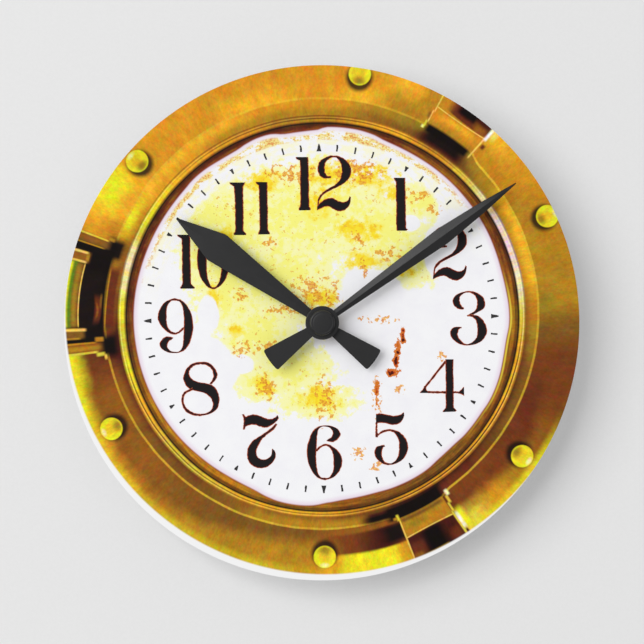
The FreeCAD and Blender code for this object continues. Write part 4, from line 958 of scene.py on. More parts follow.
def paint_rivets(shader, plate, colour):
    """Six lit domes on one circle. s runs along the circle and t outwards from a rivet's
    middle; the dome is where sqrt(s^2 + t^2) is small, and its shadow lies inwards."""

    def turn_from(degrees):
        off = shader.size(shader.minus(plate["Degrees"], degrees))
        return shader.less(off, shader.minus(full_turn, off))

    half = rivet_half_width
    along = shader.times(reduce(shader.less, map(turn_from, rivet_degrees)),
                         math.radians(rivet_distance))
    out = shader.minus(plate["Distance"], rivet_distance)
    shadow = shader.length(along, shader.plus(out, 3.6))
    colour = shader.mix(shader.fade(shadow, half - 1.5, half + 4.5, 0.92), colour, tone("black"))
    radius = shader.length(along, out)
    dome = shader.fade(radius, half - 1.6, half - 0.2)
    heart = shader.fade(shader.length(along, shader.plus(out, 1.0)), 2.0, 9.5)
    face = shader.coat(tone("lemon"), heart, 0.6, tone("gold"))
    hollow = shader.length(shader.times(along, 0.72), shader.plus(out, 7.0))
    face = shader.mix(shader.fade(hollow, 0.8, 7.5, 0.95), face, tone("olive"))
    glint = shader.length(shader.times(along, 0.6), shader.minus(out, 8.6))
    face = shader.mix(shader.fade(glint, 0.8, 3.6, 0.85), face, tone("cream"))
    rim = shader.between(radius, half - 3.0, half - 1.4, 0.0, 0.45)
    return shader.mix(dome, colour, shader.mix(rim, face, tone("lemon")))


def paint_dial(shader, drawing, stain):
    """White enamel with pale and deep yellow stains, rust flecks and bare places. Each kind
    is the highest of its stains' heights, frayed by noise and cut to a soft edge."""
    x = drawing["X"]
    z = drawing["Z"]
    flat = drawing["Flat"]
    both = shader.times
    rough = shader.minus(shader.noise(flat, 0.045, 6.0, 0.62), 0.5)
    fray = shader.minus(shader.noise(flat, 0.13, 5.0, 0.66), 0.5)
    fleck = shader.noise(shader.moved(flat, 19.0), 0.23, 2.0, 0.6)
    speck = shader.noise(flat, 0.5, 2.0, 0.6)

    def height(place):
        centre_x, centre_z, wide, high = place
        return shader.group(stain, X=x, Z=z, Centre_X=centre_x, Centre_Z=centre_z, Wide=wide,
                            High=high)[0]

    def frayed(table, coarse, fine):
        highest = reduce(shader.more, map(height, table))
        return shader.plus(highest, shader.plus(both(rough, coarse), both(fray, fine)))

    colour = shader.mix(shader.between(rough, -0.2, 0.3), tone("enamel"), tone("enamel shade"))
    inside = shader.length(x, shader.minus(z, 5.0))
    field = shader.fade(shader.plus(inside, both(rough, 16.0)), 163.5, 168.0)
    # yellow stains, paler where the enamel is bare
    bare = shader.more(frayed(bare_stains, 1.2, 1.0), 0.0)
    pale = shader.minus(frayed(pale_stains, 0.9, 1.5), both(bare, 1.7))
    pale_mask = both(shader.between(pale, 0.04, 0.26), field)
    colour = shader.coat(colour, pale_mask, 0.93, tone("pale stain"))
    yellow = both(shader.between(shader.plus(pale, both(fray, 1.2)), 0.35, 0.8), field)
    colour = shader.coat(colour, yellow, 0.8, tone("yellow stain"))
    deep = shader.between(frayed(deep_stains, 1.6, 1.8), 0.1, 0.75)
    deep_mask = both(both(deep, shader.between(pale, -0.1, 0.2)), field)
    colour = shader.coat(colour, deep_mask, 0.95, tone("deep stain"))
    warm = shader.between(shader.plus(deep, both(fray, 3.0)), 0.9, 1.5)
    colour = shader.coat(colour, both(warm, deep_mask), 0.7, tone("warm stain"))
    # rust in patches, stray flecks and small brown spots
    rust = frayed(rust_stains, 0.5, 1.2)
    amount = shader.between(rust, -0.1, 0.9, 0.0, 0.17, smooth=False)
    patchy = shader.between(shader.plus(fleck, amount), 0.6, 0.66)
    rust_mask = both(both(patchy, shader.between(rust, -0.05, 0.15)), field)
    rust_tone = shader.mix(shader.between(speck, 0.42, 0.62), tone("light rust"), tone("rust"))
    colour = shader.coat(colour, rust_mask, 0.88, rust_tone)
    stray = both(shader.between(fleck, 0.66, 0.69), shader.between(pale, 0.2, 0.5))
    colour = shader.coat(colour, both(stray, field), 0.75, tone("stray rust"))
    spots = shader.between(speck, 0.70, 0.73)
    thin = shader.between(shader.plus(pale, rough), 0.0, 0.6, 0.12, 0.9)
    colour = shader.coat(colour, both(spots, thin), field, tone("brown spot"))
    # the rust that has run down beside the hub, red and then dark at its heart
    streak = frayed(streak_stains, 0.6, 3.6)
    streak_mask = shader.between(streak, 0.16, 0.28)
    colour = shader.coat(colour, streak_mask, 0.98, tone("streak"))
    red = both(streak_mask, shader.between(shader.plus(streak, both(rough, 1.4)), 0.5, 0.8))
    colour = shader.coat(colour, red, 0.85, tone("red streak"))
    dark = both(streak_mask, shader.between(shader.plus(streak, fray), 0.86, 1.0))
    colour = shader.coat(colour, dark, 0.9, tone("dark streak"))
    return colour, inside, speck


def clock_print_material(settings):
    """The whole printed picture: brass outside, dial inside, white strip at the lower left."""
    material, shader, surface = start_material(
        "porthole_print", Roughness=0.55, Specular_IOR_Level=0.08)
    drawing = shader.group(drawing_group())
    polar = polar_group()
    brass, whole, plate = paint_brass(shader, drawing, polar, patch_group())
    dial, inside, speck = paint_dial(shader, drawing, stain_group())
    degrees = whole["Degrees"]
    turn = shader.over(degrees, full_turn)
    span = dial_reach_high - dial_reach_low
    points = [(angle / full_turn, (reach - dial_reach_low) / span) for angle, reach in dial_edge]
    edge = shader.curve(turn, points + [(1.0, points[0][1])])
    gap = shader.minus(whole["Distance"], shader.plus(shader.times(edge, span), dial_reach_low))
    # flecks in the margins of the minute track, from the upper left to the upper right
    margin = shader.times(shader.between(inside, 177.0, 179.5), shader.fade(gap, -5.0, -2.0))
    upper = shader.more(shader.between(degrees, 72.0, 30.0), shader.between(degrees, 272.0, 305.0))
    amount = shader.plus(shader.times(speck, 0.35), shader.times(upper, 0.2))
    drawn = shader.noise(ring_place(shader, whole, 70.0, 0.7), 0.22, 4.0, 0.65)
    flecks = shader.between(shader.plus(drawn, amount), 0.79, 0.88)
    wash = shader.times(upper, shader.between(drawn, 0.42, 0.6))
    wash = shader.times(wash, shader.fade(gap, -7.0, -3.0, 0.6))
    dial = shader.coat(dial, wash, shader.between(inside, 163.0, 166.0), tone("wash"))
    flecks = shader.times(shader.times(margin, upper), flecks)
    rusty = shader.plus(shader.times(speck, 0.5), shader.times(drawn, 0.5))
    fleck_tone = shader.mix(shader.between(rusty, 0.5, 0.6), tone("pale fleck"), tone("rust fleck"))
    dial = shader.coat(dial, flecks, 0.9, fleck_tone)
    # faint lavender shade at the very edge, and the thin bright lip of the reveal
    dial = shader.mix(shader.between(gap, -6.0, 0.0, 0.0, 0.55), dial, tone("lavender"))
    brass = shader.mix(shader.fade(gap, 0.2, 2.6, 0.6), brass, tone("rusted lip"))
    lip = shader.line(gap, 2.0, 0.3, 1.5)
    brass = shader.coat(brass, lip, shader.curve(turn, lip_light), tone("straw"))
    colour = shader.mix(shader.between(gap, -0.9, 0.9), dial, brass)
    # the picture ends inside the disc's edge at the lower left
    end = ring_places["plate"][3]
    past = shader.between(plate["Distance"], end - 1.0, end + 1.0)
    shader.feed(surface["Base Color"], shader.mix(past, colour, settings.paper))
    fine = shader.noise(drawing["Flat"], 2.2, 2.0)
    shader.feed(surface["Normal"], shader.bump(fine, 0.08, 0.00003))
    return material


def ink_material(settings):
    """Near-black ink whose edges bleed red-brown; inset is the distance from the edge."""
    material, shader, surface = start_material("number_ink", Specular_IOR_Level=0.06)
    inset = shader.node("ShaderNodeAttribute", attribute_name="inset").outputs["Fac"]
    flat = shader.group(bpy.data.node_groups["clock_drawing"])["Flat"]
    uneven = shader.minus(shader.noise(flat, 0.5, 4.0, 0.65), 0.5)
    depth = shader.plus(inset, shader.times(uneven, 2.4))
    colour = shader.ramp(shader.between(depth, 0.0, 2.0, smooth=False), (
        (0.0, tone("bleed light")), (0.2, tone("bleed")), (0.42, tone("bleed dark")),
        (0.7, tone("ink brown")), (1.0, settings.ink)))
    shader.feed(surface["Base Color"], colour)
    shader.feed(surface["Roughness"], shader.between(uneven, -0.3, 0.3, 0.4, 0.55))
    return material


def finish_material(name, base, dark, light, metallic, rough, coarse, fine, bump,
                    stretch=(1, 1, 1)):
    """Moulded, turned or rolled finish: the colour goes from dark to light times the base over
    a coarse grain, and a fine grain sets roughness and height."""
    material, shader, surface = start_material(name, Metallic=metallic)
    grain = shader.group(bpy.data.node_groups["clock_grain"], Coarse_Scale=coarse,
                         Fine_Scale=fine, Stretch=stretch)
    low = tuple(part * dark for part in base)
    high = tuple(min(part * light, 1.0) for part in base)
    colour = shader.mix(shader.between(grain["Coarse"], 0.3, 0.7), low, high)
    shader.feed(surface["Base Color"], colour)
    shader.feed(surface["Roughness"], shader.between(grain["Fine"], 0.3, 0.7, *rough))
    shader.feed(surface["Normal"], shader.bump(grain["Fine"], bump, 0.0001))
    return material


def grid_faces(rows, columns, wrap_rows, wrap_columns, first=0):
    """Quads of a grid: (i, j), (i + 1, j), (i + 1, j + 1), (i, j + 1), wrapped where asked."""
    i, j = np.meshgrid(np.arange(rows if wrap_rows else rows - 1),
                       np.arange(columns if wrap_columns else columns - 1), indexing="ij")
    next_i = (i + 1) % rows
    next_j = (j + 1) % columns
    quads = np.stack([i * columns + j, next_i * columns + j, next_i * columns + next_j,
                      i * columns + next_j], -1)
    return (first + quads.reshape(-1, 4)).tolist()


def new_object(name, data):
    made = bpy.data.objects.new(name, data)
    bpy.context.scene.collection.objects.link(made)
    return made


class Shell:
    """Gathers closed shells of one piece and makes its mesh."""

    def __init__(self):
        self.points = []
        self.faces = []
        self.inset = []
        self.count = 0

    def add(self, grid, wrap_rows, wrap_columns, inset=None):
        """Adds a grid of points (rows, columns, 3). Open rows are closed by end faces; open
        columns are for a profile that begins and ends on the axis."""
        rows, columns = grid.shape[:2]
        self.faces += grid_faces(rows, columns, wrap_rows, wrap_columns, self.count)
        if not wrap_rows:
            self.faces.append([self.count + j for j in range(columns)])
            self.faces.append([self.count + (rows - 1) * columns + j for j in range(columns)])
        self.points.append(grid.reshape(-1, 3))
        self.inset.append(np.zeros(rows * columns) if inset is None else inset.reshape(-1))
        self.count += rows * columns

    def piece(self, name, body, material, crease=30.0, replaces=()):
        """Mesh object with outward faces, merged poles and its edges sharp past the crease."""
        mesh = bpy.data.meshes.new(name)
        mesh.from_pydata(np.concatenate(self.points).tolist(), [], self.faces)
        inset = mesh.attributes.new("inset", "FLOAT", "POINT")
        inset.data.foreach_set("value", np.concatenate(self.inset).astype(np.float32))
        shape = bmesh.new()
        shape.from_mesh(mesh)
        bmesh.ops.remove_doubles(shape, verts=shape.verts, dist=merge_distance)
        bmesh.ops.recalc_face_normals(shape, faces=shape.faces)
        shape.to_mesh(mesh)
        shape.free()
        mesh.shade_smooth()
        mesh.set_sharp_from_angle(angle=math.radians(crease))
        made = new_object(name, mesh)
        mesh.materials.append(material)
        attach(made, body)
        if replaces:
            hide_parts(*replaces)
        return made


def lathe(profile, segments):
    """Solid of revolution about the hands' axis: (r, y) goes to (x0 + r sin a, y, z0 + r cos a)."""
    angle = np.linspace(0, 2 * math.pi, segments, endpoint=False)[:, None]
    radius = np.array([point[0] for point in profile])[None, :]
    depth = np.array([point[1] for point in profile])[None, :]
    return np.stack([axis_x + radius * np.sin(angle), depth + 0 * angle,
                     axis_z + radius * np.cos(angle)], -1)


def rounded_corner(radius, depth, turn_from, turn_to, size, steps=5):
    """Part of a circle of that size about (radius, depth), between two angles in degrees."""
    angles = np.radians(np.linspace(turn_from, turn_to, steps))
    return [(radius + size * math.cos(a), depth + size * math.sin(a)) for a in angles]


def smoothed(rows, steps):
    """Catmull-Rom curve through the rows, the same for each column."""
    rows = np.array(rows, float)
    padded = np.concatenate([2 * rows[:1] - rows[1:2], rows, 2 * rows[-1:] - rows[-2:-1]])
    t = np.linspace(0, 1, steps, endpoint=False)[None, :, None]
    a, b, c, d = (padded[k:len(rows) - 1 + k][:, None, :] for k in range(4))
    curve = 0.5 * (2 * b + (c - a) * t + (2 * a - 5 * b + 4 * c - d) * t ** 2
                   + (3 * b - a - 3 * c + d) * t ** 3)
    return np.concatenate([curve.reshape(-1, rows.shape[1]), rows[-1:]])


def divided(rows, steps):
    """Rows joined by straight runs, each in equal steps."""
    rows = np.array(rows, float)
    t = np.linspace(0, 1, steps, endpoint=False)[None, :, None]
    runs = rows[:-1, None, :] * (1 - t) + rows[1:, None, :] * t
    return np.concatenate([runs.reshape(-1, rows.shape[1]), rows[-1:]])


def add_ribbon(shell, pairs, lift, spread, wander):
    """Closed thin ribbon between two edges, in drawing units (x right, z up). Its edges move
    apart by spread and by a random part of ragged_edge; its front has a middle row whose inset
    is half the width there, and its back lies in the film."""
    left = pairs[:, 0:2]
    right = pairs[:, 2:4]
    width = np.linalg.norm(right - left, axis=1)
    away = (right - left) / np.maximum(width, 0.05)[:, None]
    ragged = wander.uniform(-ragged_edge, ragged_edge, (len(pairs), 2))
    left = left - away * (spread + ragged[:, :1])
    right = right + away * (spread + ragged[:, 1:])
    middle = (left + right) / 2
    half = np.linalg.norm(right - left, axis=1) / 2
    front = film_low.y - ink_height - lift
    back = film_low.y + ink_sunk
    columns = []
    for edge, depth in ((left, front), (middle, front), (right, front), (right, back),
                        (left, back)):
        columns.append(np.stack([axis_x + (edge[:, 0] + drawing_shift[0]) * unit,
                                 np.full(len(edge), depth),
                                 axis_z + (edge[:, 1] + drawing_shift[1]) * unit], -1))
    inset = np.zeros((len(pairs), 5))
    inset[:, 1] = half
    shell.add(np.stack(columns, 1), False, True, inset)


def turned_to(points, degrees):
    """Points of a hand that points to 12, turned clockwise about the hands' axis."""
    angle = math.radians(degrees)
    x = points[..., 0]
    z = points[..., 2]
    return np.stack([axis_x + x * math.cos(angle) + z * math.sin(angle), points[..., 1],
                     axis_z - x * math.sin(angle) + z * math.cos(angle)], -1)


def blade_grid(outline, rear, edge, ridge):
    """Blade: at reach s its half width is w(s), and the front's height over the rear is
    edge + ridge (1 - |x| / w); a small bevel takes the front corners off. w is the outline's,
    averaged over a short run but for the tip."""
    reach_points = np.array([point[0] for point in outline]) * mm
    half_points = np.array([point[1] for point in outline]) * mm
    start, stop = reach_points[0], reach_points[-1]
    reach = np.linspace(start, stop, blade_rows)
    run = stop - start
    half = sum(np.interp(np.clip(reach + shift * run, start, stop), reach_points, half_points)
               for shift in np.linspace(-blade_average, blade_average, 7)) / 7
    half = np.where(reach > stop - blade_tip * run,
                    np.interp(reach, reach_points, half_points), half)[:, None]
    cut = np.minimum(hand_bevel, half * 0.4)
    share = np.array([-1.0, -1.0, -1.0, -0.5, 0.0, 0.5, 1.0, 1.0, 1.0])[None, :]
    inner = np.array([0, 0, 1, 0, 0, 0, 1, 0, 0])[None, :]
    across = share * half - np.sign(share) * inner * cut
    height = edge + ridge * (1 - np.abs(across) / half)
    height[:, [1, 7]] = edge - hand_bevel
    height[:, [0, 8]] = 0.0
    return np.stack([across, -(rear + height), np.broadcast_to(reach[:, None], across.shape)], -1)


def tail_grid(rear):
    """Flared tail: at distance d from the axis it spans the angles where d sin(a) is within its
    half width, so its end is an arc; the last tail_corner of it is rounded in."""
    straight_end = tail_reach - tail_corner
    distance = np.concatenate([
        np.linspace(hub_radius / 2, straight_end, tail_rows),
        straight_end + tail_corner * np.sin(np.linspace(0.1, math.pi / 2, 8))])
    slope = (tail_end_half - tail_root_half) / (tail_reach - hub_radius)
    half = tail_root_half + slope * (distance - hub_radius)
    past = np.clip(distance - straight_end, 0, tail_corner)
    half = half - (tail_corner - np.sqrt(np.maximum(tail_corner ** 2 - past ** 2, 0)))
    spread = np.arcsin(half / distance)[:, None]
    share = np.concatenate([[-1, -1], np.linspace(-1, 1, 15), [1, 1]])[None, :]
    inner = np.zeros(share.shape)
    inner[0, 2] = inner[0, -3] = 1
    angle = share * spread * (1 - inner * hand_bevel / half[:, None])
    height = np.full(angle.shape, hand_thickness)
    height[:, [1, -2]] = hand_thickness - hand_bevel
    height[:, [0, -1]] = 0.0
    d = distance[:, None]
    return np.stack([d * np.sin(angle), -(rear + height), -d * np.cos(angle)], -1)


def hub_profile(bore, radius, rear, front, size):
    """Closed profile of a round hub with its front rim rounded; depths grow to the front."""
    corner = rounded_corner(radius - size, front - size, 0, 90, size)
    return [(r, -d) for r, d in [(bore, rear), (radius, rear)] + corner + [(bore, front)]]


def finish_nodes(names, material):
    """Gives CAD nodes their finish in place of the plain one."""
    for name in names:
        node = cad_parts[name]
        node.data.materials.clear()
        node.data.materials.append(material)


class PrintSettings(PropertyGroup):
    paper: FloatVectorProperty(
        name="Paper", description="Bare print at the picture's edge", subtype="COLOR",
        default=tone("paper"), min=0.0, max=1.0)
    ink: FloatVectorProperty(
        name="Ink", description="Numbers and minute marks", subtype="COLOR",
        default=tone("ink"), min=0.0, max=1.0)
    acrylic: FloatVectorProperty(
        name="Acrylic", description="Disc and its edge", subtype="COLOR",
        default=(0.86, 0.86, 0.86), min=0.0, max=1.0)


class HandSettings(PropertyGroup):
    plastic: FloatVectorProperty(
        name="Hands", description="Moulded hands and cap", subtype="COLOR",
        default=tone("hand black"), min=0.0, max=1.0)
    hour_ridge: FloatProperty(
        name="Hour ridge", description="Rise of the hour hand's middle", subtype="DISTANCE",
        unit="LENGTH", default=0.25 * mm)
    minute_ridge: FloatProperty(
        name="Minute ridge", description="Rise of the minute hand's middle", subtype="DISTANCE",
        unit="LENGTH", default=0.68 * mm)


class MovementSettings(PropertyGroup):
    case: FloatVectorProperty(
        name="Case", description="Movement shell, cover and loop", subtype="COLOR",
        default=(0.03, 0.03, 0.032), min=0.0, max=1.0)
    brass: FloatVectorProperty(
        name="Brass", description="Bush, nut, washer and minute arbor", subtype="COLOR",
        default=(0.78, 0.57, 0.25), min=0.0, max=1.0)
    sleeve: FloatVectorProperty(
        name="Battery sleeve", description="Main colour of the battery", subtype="COLOR",
        default=tone("sleeve blue"), min=0.0, max=1.0)


class StageSettings(PropertyGroup):
    wall: FloatVectorProperty(
        name="Wall", description="Painted wall", subtype="COLOR", default=(0.80, 0.80, 0.80),
        min=0.0, max=1.0)
    key_watts: FloatProperty(
        name="Key lamp", description="Power of the large lamp at the upper left", subtype="POWER",
        unit="POWER", default=101.0)
    upper_watts: FloatProperty(
        name="Upper lamp", description="Power of the small lamp that lights the hands' facets",
        subtype="POWER", unit="POWER", default=14.0)
    sky: FloatProperty(
        name="Room light", description="Strength of the even light from all round", default=0.59)
    lens: FloatProperty(
        name="Lens", description="Focal length", subtype="DISTANCE_CAMERA", default=120.0)


class ClockOperator:
    bl_options = {"REGISTER", "UNDO"}


class CLOCK_OT_disc(ClockOperator, Operator):
    """Make the acrylic disc with polished round edges"""
    bl_idname = "clock.make_disc"
    bl_label = "Acrylic disc"

    def execute(self, context):
        settings = context.scene.clock_print
        acrylic = finish_material("polished_acrylic", tuple(settings.acrylic), 0.985, 1.01, 0.0,
                                  (0.14, 0.2), 60.0, 900.0, 0.03)
        rear = -disc_high.y
        front = -disc_low.y
        size = disc_edge_round
        rim = rounded_corner(disc_radius - size, rear + size, -90, 0, size)
        rim += rounded_corner(disc_radius - size, front - size, 0, 90, size)
        inner = np.linspace(disc_radius - disc_plain_ring, hole_radius, 12)
        profile = ([(radius, rear) for radius in inner[::-1]] + rim
                   + [(radius, front) for radius in inner])
        shell = Shell()
        shell.add(lathe([(r, -d) for r, d in profile], disc_segments), True, True)
        shell.piece("acrylic_disc", "clock", acrylic, replaces=("face_disc",))
        return {"FINISHED"}


class CLOCK_OT_print(ClockOperator, Operator):
    """Make the printed sheet with the pictured porthole"""
    bl_idname = "clock.make_print"
    bl_label = "Porthole print"

    def execute(self, context):
        rings = np.linspace(hole_radius, disc_radius - sheet_margin, 24)
        profile = [(r, film_low.y) for r in rings] + [(r, film_high.y) for r in rings[::-1]]
        shell = Shell()
        shell.add(lathe(profile, disc_segments), True, True)
        picture = clock_print_material(context.scene.clock_print)
        shell.piece("porthole_picture", "clock", picture, replaces=("printed_film",))
        return {"FINISHED"}


class CLOCK_OT_numbers(ClockOperator, Operator):
    """Make the hour numbers and the minute track as thin layers of ink"""
    bl_idname = "clock.make_numbers"
    bl_label = "Numbers and minute track"

    def execute(self, context):
        settings = context.scene.clock_print
        ink = ink_material(settings)
        wander = np.random.default_rng(ragged_seed)
        for name, strokes in self.all_numbers().items():
            shell = Shell()
            for order, (kind, rows) in enumerate(strokes):
                pairs = smoothed(rows, 3) if kind == "curved" else divided(rows, 10)
                pairs = pairs - np.tile(drawing_middle, 2)
                pairs[:, (1, 3)] *= -1.0
                add_ribbon(shell, pairs, order * ink_layer, number_spread, wander)
            shell.piece("number_" + name, "clock", ink)
        shell = Shell()
        for minute in range(60):
            add_ribbon(shell, self.mark(minute), 0.0, mark_spread, wander)
        mark_ink = finish_material("mark_ink", tuple(settings.ink), 0.7, 1.5, 0.0, (0.45, 0.6),
                                   900.0, 3000.0, 0.05)
        shell.piece("minute_track", "clock", mark_ink)
        return {"FINISHED"}

    def all_numbers(self):
        """The drawn numbers, the 2 moved from the 12 and the 9 turned from the 6."""
        numbers = dict(number_strokes)
        step = np.tile(two_step, 2)
        numbers["2"] = tuple((kind, np.array(rows, float) + step) for kind, rows in two_strokes)
        total = np.tile(nine_turn_sum, 2)
        numbers["9"] = tuple((kind, total - np.array(rows, float)) for kind, rows in six_strokes)
        return numbers

    def mark(self, minute):
        """One mark: plain bars, tall wedges at the quarters, small ones at the other fives."""
        angle = math.radians(6 * minute + track_turn)
        out = np.array([math.sin(angle), math.cos(angle)])
        side = np.array([math.cos(angle), -math.sin(angle)])
        middle = np.array(track_centre) + np.array(track_half_axes) * out
        kind = quarter_mark if minute % 15 == 0 else five_mark if minute % 5 == 0 else plain_mark
        length, low_half, high_half = kind
        share = np.linspace(-0.5, 0.5, 4)[:, None]
        half = low_half + (high_half - low_half) * (share + 0.5)
        place = middle + out * length * share
        return np.concatenate([place - side * half, place + side * half], axis=1)


class CLOCK_OT_hands(ClockOperator, Operator):
    """Make the hour hand, the minute hand and the centre cap"""
    bl_idname = "clock.make_hands"
    bl_label = "Hands and cap"

    def execute(self, context):
        settings = context.scene.clock_hands
        plastic = finish_material("hand_plastic", tuple(settings.plastic), 0.92, 1.08, 0.0,
                                  (0.32, 0.38), 220.0, 3200.0, 0.05)
        hour_rear = -hour_high.y
        self.hand("hour_hand_moulded", "hour", "hour_hand", hour_outline, hour_rear,
                  settings.hour_ridge, hour_clock_angle, plastic, (
                      (hour_bore, hub_radius, hour_rear, hour_rear + hub_thickness,
                       hour_hub_round),
                      (hour_bore, hour_collar_radius, hour_rear, -hour_low.y,
                       hour_collar_round)))
        minute_front = -minute_low.y
        minute_rear = minute_front - hub_thickness
        self.hand("minute_hand_moulded", "minute", "minute_hand", minute_outline, minute_rear,
                  settings.minute_ridge, minute_clock_angle, plastic, (
                      (minute_bore, hub_radius, minute_rear, minute_front, minute_hub_round),
                      (minute_bore, minute_collar_radius, -minute_high.y,
                       minute_rear + collar_overlap, minute_collar_round)))
        self.cap(plastic)
        return {"FINISHED"}

    def hand(self, name, body, node, outline, rear, ridge, degrees, material, hubs):
        """Blade, tail and round hubs, each (bore, radius, rear, front, size of its round)."""
        shell = Shell()
        edge = min(hand_edge, hand_thickness - ridge)
        shell.add(turned_to(blade_grid(outline, rear, edge, ridge), degrees), False, True)
        shell.add(turned_to(tail_grid(rear), degrees), False, True)
        for hub in hubs:
            shell.add(lathe(hub_profile(*hub), hub_segments), True, True)
        shell.piece(name, body, material, crease=hand_crease_degrees,
                    replaces=(node,))

    def cap(self, material):
        """Cap with a rounded rim, a shallow groove inside it and a front domed as r^2."""
        rear = -cap_high.y
        front = -cap_low.y
        inside = rear + cap_depth_inside
        rim = rounded_corner(cap_radius - cap_rim_round, front - cap_rim_drop, 0, 80,
                             cap_rim_round, 9)
        groove = [(reach * mm, front - drop * mm) for reach, drop in cap_groove]
        dome = [(reach * mm, front - cap_dome_share * reach * reach * mm)
                for reach in np.linspace(cap_dome_reach, 0.0, 12)]
        wall = [(0.0, inside), (minute_bore, inside), (minute_bore, rear), (cap_radius, rear)]
        profile = [(radius, -depth) for radius, depth in wall + rim + groove + dome]
        shell = Shell()
        shell.add(lathe(profile, hub_segments), True, False)
        shell.piece("centre_cap_moulded", "minute", material,
                    crease=cap_crease_degrees, replaces=("centre_cap",))


class CLOCK_OT_movement(ClockOperator, Operator):
    """Give every piece of the movement its finish"""
    bl_idname = "clock.finish_movement"
    bl_label = "Movement finishes"

    def execute(self, context):
        settings = context.scene.clock_movement
        black = tuple(settings.case)
        brass = tuple(settings.brass)
        # name, colour, darkest, lightest, metallic, roughness, coarse and fine grain, bump
        table = (
            ("eroded_black_case", black, 0.8, 1.5, 0.0, (0.45, 0.62), 160.0, 4200.0, 0.5,
             ("movement_case", "front_cover", "hanger_tab")),
            ("moulded_rubber", (0.028, 0.028, 0.028), 0.8, 1.3, 0.0, (0.7, 0.85), 200.0, 2500.0,
             0.35, ("rubber_washer",)),
            ("natural_acetal", (0.80, 0.78, 0.72), 0.95, 1.03, 0.0, (0.32, 0.42), 120.0, 2000.0,
             0.06,
             ("train_bridge", "rotor_pinion", "intermediate_wheel", "seconds_wheel", "third_wheel",
              "centre_wheel", "motion_wheel", "hour_wheel", "setting_shaft")),
            ("knob_acetal", (0.68, 0.67, 0.63), 0.9, 1.04, 0.0, (0.38, 0.5), 200.0, 2600.0, 0.15,
             ("setting_knob",)),
            ("bobbin_nylon", (0.10, 0.24, 0.13), 0.9, 1.1, 0.0, (0.4, 0.5), 200.0, 2000.0, 0.1,
             ("coil_bobbin",)),
            ("phenolic_board", (0.24, 0.17, 0.07), 0.8, 1.15, 0.0, (0.45, 0.6), 500.0, 3000.0, 0.15,
             ("circuit_board",)),
            ("chip_resin", (0.016, 0.016, 0.018), 0.9, 1.2, 0.0, (0.12, 0.2), 300.0, 1500.0, 0.05,
             ("clock_chip",)),
            ("sintered_magnet", (0.07, 0.07, 0.075), 0.7, 1.4, 0.6, (0.4, 0.6), 900.0, 4000.0, 0.3,
             ("rotor_magnet",)),
        )
        for *values, nodes in table:
            finish_nodes(nodes, finish_material(*values))
        # turned and rolled metals, whose grain is drawn out along one direction: name, colour,
        # darkest, lightest, roughness, stretch
        metals = (
            ("turned_brass", brass, 0.86, 1.1, (0.2, 0.34), (1, 14, 1),
             ("threaded_bush", "hex_nut", "dial_washer", "minute_arbor")),
            ("rolled_steel", (0.58, 0.58, 0.57), 0.88, 1.1, (0.22, 0.36), (10, 1, 1),
             ("motion_pin", "stator", "coil_core", "clutch_spring")),
            ("ground_steel", (0.62, 0.62, 0.61), 0.9, 1.08, (0.15, 0.25), (1, 8, 1),
             ("seconds_arbor",)),
            ("drawn_can", (0.70, 0.70, 0.69), 0.9, 1.06, (0.2, 0.3), (12, 1, 1),
             ("quartz_crystal",)),
            ("nickel_strip", (0.74, 0.72, 0.67), 0.86, 1.08, (0.16, 0.3), (1, 1, 10),
             ("contact_positive", "contact_negative", "battery_positive_cap",
              "battery_negative_cap")),
        )
        for name, base, dark, light, rough, stretch, nodes in metals:
            finish_nodes(nodes, finish_material(name, base, dark, light, 1.0, rough, 150.0, 900.0,
                                                0.12, stretch))
        finish_nodes(("coil_winding",), self.winding())
        finish_nodes(("battery_cell",), self.sleeve(settings))
        return {"FINISHED"}

    def winding(self):
        """Enamelled copper: height and colour follow sin(2 pi z / pitch); the colour is darker in
        the valleys between turns as painted shade and lighter on their crowns as a painted
        highlight.
        """
        material, shader, surface = start_material("wound_copper", Metallic=0.85)
        wave = shader.math("SINE", shader.times(shader.object_parts()[2],
                                                2 * math.pi / wire_pitch))
        # painted shade in the valleys between turns of wire and a painted highlight on their
        # crowns; the copper itself is one colour
        shader.feed(surface["Base Color"], shader.mix(shader.between(wave, -1.0, 1.0),
                                                      (0.32, 0.10, 0.035), (0.62, 0.26, 0.11)))
        shader.feed(surface["Roughness"], shader.between(wave, -1.0, 1.0, 0.42, 0.26))
        shader.feed(surface["Normal"], shader.bump(wave, 0.5, 0.00006))
        return material

    def sleeve(self, settings):
        """Shrink sleeve: a main colour, a pale band and a silver band near the button end, by
        the share of the way along the battery."""
        material, shader, surface = start_material(
            "battery_sleeve", Coat_Weight=0.4, Coat_Roughness=0.12)
        share = shader.between(shader.object_parts()[0], cell_low.x, cell_high.x, smooth=False)
        flat = shader.noise(shader.object_place(), 320.0, 3.0)
        main = tuple(settings.sleeve)
        colour = shader.ramp(share, (
            (0.0, (0.5, 0.5, 0.5)), (0.012, main), (0.62, main), (0.622, tone("pale band")),
            (0.64, tone("pale band")), (0.642, tone("silver band")), (0.986, tone("silver band")),
            (0.992, (0.55, 0.55, 0.55))), "CONSTANT")
        colour = shader.mix(shader.between(flat, 0.3, 0.7, 0.0, 0.03), colour, (0.9, 0.9, 0.9))
        shader.feed(surface["Base Color"], colour)
        shader.feed(surface["Metallic"], shader.between(share, 0.60, 0.66, 0.25, 0.75))
        shader.feed(surface["Roughness"], shader.between(flat, 0.3, 0.7, 0.2, 0.32))
        return material


